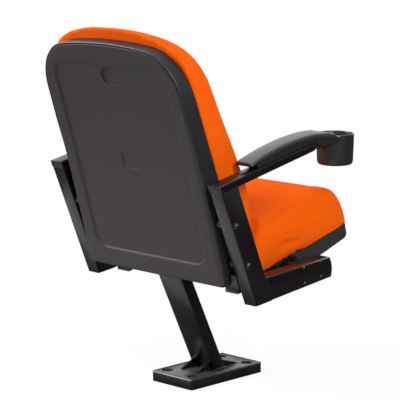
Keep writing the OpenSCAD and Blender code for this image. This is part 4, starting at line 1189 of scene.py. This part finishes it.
def swell(obj, voxel, cap, hold, pressure=4.0):
    """Lets a cover fill out, by no more than cap millimetres. hold(point) tells how far a point stays."""
    apply_modifier(obj, "REMESH", mode="VOXEL", voxel_size=voxel * MM)
    start = [v.co.copy() for v in obj.data.vertices]
    only(obj)
    pins = obj.vertex_groups.new(name="held")
    for v in obj.data.vertices:
        share = hold(v.co * 1000)
        if share > 0:
            pins.add([v.index], share, "REPLACE")
    cloth = obj.modifiers.new("cover", "CLOTH")
    s = cloth.settings
    s.quality = 6
    s.mass = 0.25
    s.use_pressure = True
    s.uniform_pressure_force = pressure
    s.tension_stiffness = s.compression_stiffness = 18
    s.shear_stiffness = 8
    s.bending_stiffness = 0.6
    s.effector_weights.gravity = 0
    s.vertex_group_mass = "held"
    cloth.collision_settings.use_collision = False
    scene = bpy.context.scene
    scene.frame_start, scene.frame_end = 1, 20
    cloth.point_cache.frame_start, cloth.point_cache.frame_end = 1, 20
    for n in range(1, 21):
        scene.frame_set(n)
    only(obj)
    bpy.ops.object.modifier_apply(modifier=cloth.name)
    scene.frame_set(1)
    bm = edit(obj)
    for v, at in zip(bm.verts, start):
        move = v.co - at
        if move.length > cap * MM:
            v.co = at + move.normalized() * cap * MM
    bmesh.update_edit_mesh(obj.data)
    leave()
    obj.vertex_groups.clear()


def seat_profile(inset):
    """The seat cushion's side outline, level about the pivot, moved in by inset."""
    back_r, low, high, nose = 158.5 - inset, 22.6 + inset * 0.12, 137.0 - inset, -229.5 + inset
    top_r, low_r = 64.0 - inset * 0.5, 7.0
    drop = 84.0 - inset
    pts = []
    a0, a1 = asin(low / back_r), asin(min(high / back_r, 0.93))
    for i in range(13):
        a = a0 + (a1 - a0) * i / 12
        pts.append(Vector((back_r * cos(a), back_r * sin(a))))
    x_back = pts[-1].x
    for i in range(1, 24):
        pts.append(Vector((x_back + (nose + top_r - x_back) * i / 24, high)))
    for i in range(13):
        a = radians(90 + 90 * i / 12)
        pts.append(Vector((nose + top_r + top_r * cos(a), high - drop + drop * sin(a))))
    sunk = low - 7.0
    for i in range(9):
        a = radians(180 + 90 * i / 8)
        pts.append(Vector((nose + low_r + low_r * cos(a), sunk + low_r + low_r * sin(a))))
    for i in range(1, 20):
        y = nose + low_r + (pts[0].x - nose - low_r) * i / 20
        pts.append(Vector((y, sunk + 7.0 * smoothstep(-60, -30, y))))
    return pts


def finish_cushion(pad, node):
    apply_modifier(pad, "SMOOTH", factor=0.5, iterations=3)
    apply_modifier(pad, "SUBSURF", levels=1, render_levels=1)
    only(pad)
    bpy.ops.object.shade_smooth()
    stand_for(pad, node)


SEAT_HALF = 235.0
CORNER_R = 17.0


def corner_back(x, half=SEAT_HALF):
    """How far the seat's front line falls back near its rounded corner."""
    d = abs(x) - (half - CORNER_R)
    return CORNER_R - sqrt(max(CORNER_R ** 2 - d * d, 0.0)) if d > 0 else 0.0


def build_seat_cushion():
    half, edge = SEAT_HALF - 1.0, 16.0
    turns = [radians(a) for a in (0, 12, 24, 36, 48, 60, 75, 90)]
    stations = [(half - edge * (1 - cos(a)), edge * (1 - sin(a))) for a in turns]
    marks = stations + [(x, 0.0) for x in (185, 140, 95, 45, 0)]
    marks += [(-x, d) for x, d in reversed(marks[:-1])]
    rings = []
    for x, d in marks:
        ring = []
        for p in seat_profile(d):
            y, z = p
            y += corner_back(x, half) * smoothstep(-150, -200, y)
            ring.append(tuple(seat_point(x, y, z)))
        rings.append(ring)
    pad = loft("seat_cushion_cover", rings)
    turn = radians(SEAT_TILT)

    def held(p):
        z = (p.y - PIVOT.x) * sin(turn) + (p.z - PIVOT.y) * cos(turn)
        return 1.0 if z < 26 else 0.0

    def creased(co):
        """A crease low on each side, where the cover is pulled over the board's corner."""
        x, y, z = seat_level(co)
        if abs(x) <= 180 or z <= 30:
            return co
        run = smoothstep(48, 20, y) * smoothstep(-56, -18, y)
        line = 59 + 0.05 * y + 4 * sin(y * 0.06)
        fold = run * exp(-((z - line) / 10.0) ** 2) * 8.0
        fold -= 3.0 * run * exp(-((z - line - 20) / 13.0) ** 2)
        return Vector((co.x - copysign(fold, x) * MM, co.y, co.z))

    swell(pad, 6.0, 5.0, held)
    move_points(pad, creased)
    finish_cushion(pad, "seat_cushion")


def rounded_through(points, steps=6):
    """A smooth closed line through the points, turned to run anticlockwise."""
    n, line = len(points), []
    for i in range(n):
        a, b, c, d = (points[(i + k) % n] for k in (-1, 0, 1, 2))
        for k in range(steps):
            t = k / steps
            bend = (2 * a - 5 * b + 4 * c - d) * t * t + (3 * b - a - 3 * c + d) * t ** 3
            line.append(0.5 * (2 * b + (c - a) * t + bend))
    return line[::-1]


# the back cushion's outline from the front, right half, as (x, z), and its thickness at a height
BACK_OUTLINE = [
    (0, 928.5), (40, 927), (75, 923.5), (110, 917.5), (142, 910), (168, 900.5), (194, 886.5), (214, 868.5),
    (228, 845), (236, 815), (238.5, 776), (239, 740), (239, 600), (239, 470), (239, 440), (236, 427),
    (225, 421), (200, 421), (100, 421), (0, 421),
]
BACK_THICKNESS = [
    (420, 72), (495, 90), (540, 99), (600, 94), (650, 89), (700, 82), (750, 76), (800, 72), (850, 65),
    (880, 60), (900, 54), (914, 46.5), (924, 37), (930, 23),
]


def build_back_cushion():
    drawn = [Vector(p) for p in BACK_OUTLINE] + [Vector((-x, z)) for x, z in reversed(BACK_OUTLINE[1:-1])]
    outer = even_out(rounded_through(drawn), 6.0)
    normals = outward(outer)

    def depth(z):
        return curve_value(BACK_THICKNESS, z)

    rings = []
    centre = Vector((0, 660))
    back = inset(outer, normals, 5)
    for share in (0.05, 0.4, 0.75, 0.97):
        rings.append([(c.x, parting(c.y) - 1.0, c.y) for c in toward(back, share, centre)])
    for d, y in ((3.0, 1.2), (1.0, 2.5), (0.0, 4.5)):
        edge = inset(outer, normals, d)
        rings.append([(q.x, parting(q.y) - min(y, depth(q.y) * 0.4), q.y) for q in edge])

    def front(p, n, a):
        """The cover's front edge is round, with a small radius along the top, where the pad thins out."""
        r = 6 + 5 * abs(n.x) ** 1.5 + (10 if n.y < -0.5 else 0)
        q = p - r * (1 - cos(radians(a))) * n
        t = depth(q.y)
        return (q.x, parting(q.y) - max(t - min(r, t * 0.6) * (1 - sin(radians(a))), 5.5), q.y)

    for a in (0, 15, 30, 45, 60, 75, 90):
        rings.append([front(p, n, a) for p, n in zip(outer, normals)])
    inner = [Vector((x, z)) for x, _, z in rings[-1]]
    for share in (0.94, 0.82, 0.66, 0.5, 0.34, 0.18, 0.04):
        face = toward(inner, share, centre)
        rings.append([(c.x, parting(c.y) - depth(c.y) - 1.5 * (1 - share), c.y) for c in face])
    pad = loft("back_cushion_cover", rings)

    def held(p):
        return 1.0 if p.y > parting(p.z) - 6 else 0.0

    swell(pad, 5.0, 4.0, held)
    finish_cushion(pad, "back_cushion")


def seat_block(name, x, y0, y1, z0, z1):
    """A block in the seat's own tilt."""
    return block(name, lambda sx, sy, sz: seat_point(x[sx], y1 if sy else y0, z1 if sz else z0))


def round_edges(obj, wanted, radius, segments):
    """Bevels the edges whose two ends, seen with the seat level, pass the test."""
    edit(obj)
    bpy.ops.mesh.select_mode(type="EDGE")
    bpy.ops.mesh.select_all(action="DESELECT")
    bm = bmesh.from_edit_mesh(obj.data)
    for e in bm.edges:
        e.select_set(wanted(*(seat_level(v.co) for v in e.verts)))
    bmesh.update_edit_mesh(obj.data)
    bpy.ops.mesh.bevel(offset=radius * MM, segments=segments, affect="EDGES")
    bpy.ops.mesh.select_mode(type="VERT")
    leave()


def hub_cutter(x0, x1, r):
    bpy.ops.object.select_all(action="DESELECT")
    bpy.ops.mesh.primitive_cylinder_add(
        vertices=48, radius=r * MM, depth=abs(x1 - x0) * MM, rotation=(0, pi / 2, 0),
        location=((x0 + x1) / 2 * MM, PIVOT.x * MM, PIVOT.y * MM),
    )
    obj = bpy.context.object
    bpy.ops.object.transform_apply(location=True, rotation=True, scale=True)
    return obj


TRAY_FRONT, TRAY_REAR, TRAY_NECK_Y = -221.5, 158, -45
TRAY_TOP, TRAY_FRONT_LOW, TRAY_REAR_LOW = 22.1, -21.5, -12
TRAY_REAR_HALF, TRAY_NOSE_R, TRAY_WALL = 222, 18, 4
STOP_LOW = seat_level(Vector((0, 112, 268)) * MM).z


def tray_solid(off, up):
    """The tray's outer form, moved in by off and raised by up at its top."""
    front_low, rear_low = TRAY_FRONT_LOW + 0.5 + off, TRAY_REAR_LOW + 1 + off

    def upright(a, b):
        return abs(a.x - b.x) < 1 and abs(a.y - b.y) < 1 and max(a.y, b.y) < -100

    def nose(a, b):
        return max(a.z, b.z) < front_low and max(a.y, b.y) < TRAY_FRONT + CORNER_R + 1

    def lengthways(a, b):
        return abs(a.x - b.x) < 0.5 and abs(a.y - b.y) > 60

    half, rear_half, top = SEAT_HALF - off, TRAY_REAR_HALF - off, TRAY_TOP + up
    front = seat_block("tray_front", (-half, half), TRAY_FRONT + off, -off, TRAY_FRONT_LOW + off, top)
    round_edges(front, upright, CORNER_R - off, 8)
    round_edges(front, nose, TRAY_NOSE_R - off, 6)
    round_edges(front, lambda a, b: max(a.z, b.z) < front_low and lengthways(a, b) and abs(a.x) > 200, 3, 3)
    rear = seat_block(
        "tray_rear", (-rear_half, rear_half), TRAY_NECK_Y, TRAY_REAR - off, TRAY_REAR_LOW + off, top,
    )
    round_edges(rear, lambda a, b: max(a.z, b.z) < rear_low and lengthways(a, b), 3, 3)
    round_edges(rear, lambda a, b: max(a.z, b.z) < rear_low and min(a.y, b.y) > 100, 3, 3)
    apply_modifier(front, "BOOLEAN", operation="UNION", object=rear, solver="EXACT")
    bpy.data.objects.remove(rear)
    return front


def build_seat_tray():
    tray = tray_solid(0, 0)
    cut(tray, tray_solid(TRAY_WALL, 20))
    for sx in (-1, 1):
        cut(tray, hub_cutter(sx * 222, sx * 240, 18.5))
        cut(tray, hub_cutter(sx * 216, sx * 224, 14))
        cut(tray, seat_block("stop_slot", sorted((sx * 170.4, sx * 218)), 150, 170, STOP_LOW - 0.3, 7.1))
    bevelled(tray, 0.9, 2, 50)
    smooth(tray, 40)
    stand_for(tray, "seat_tray")


build_seat_cushion()
build_back_cushion()
build_seat_tray()
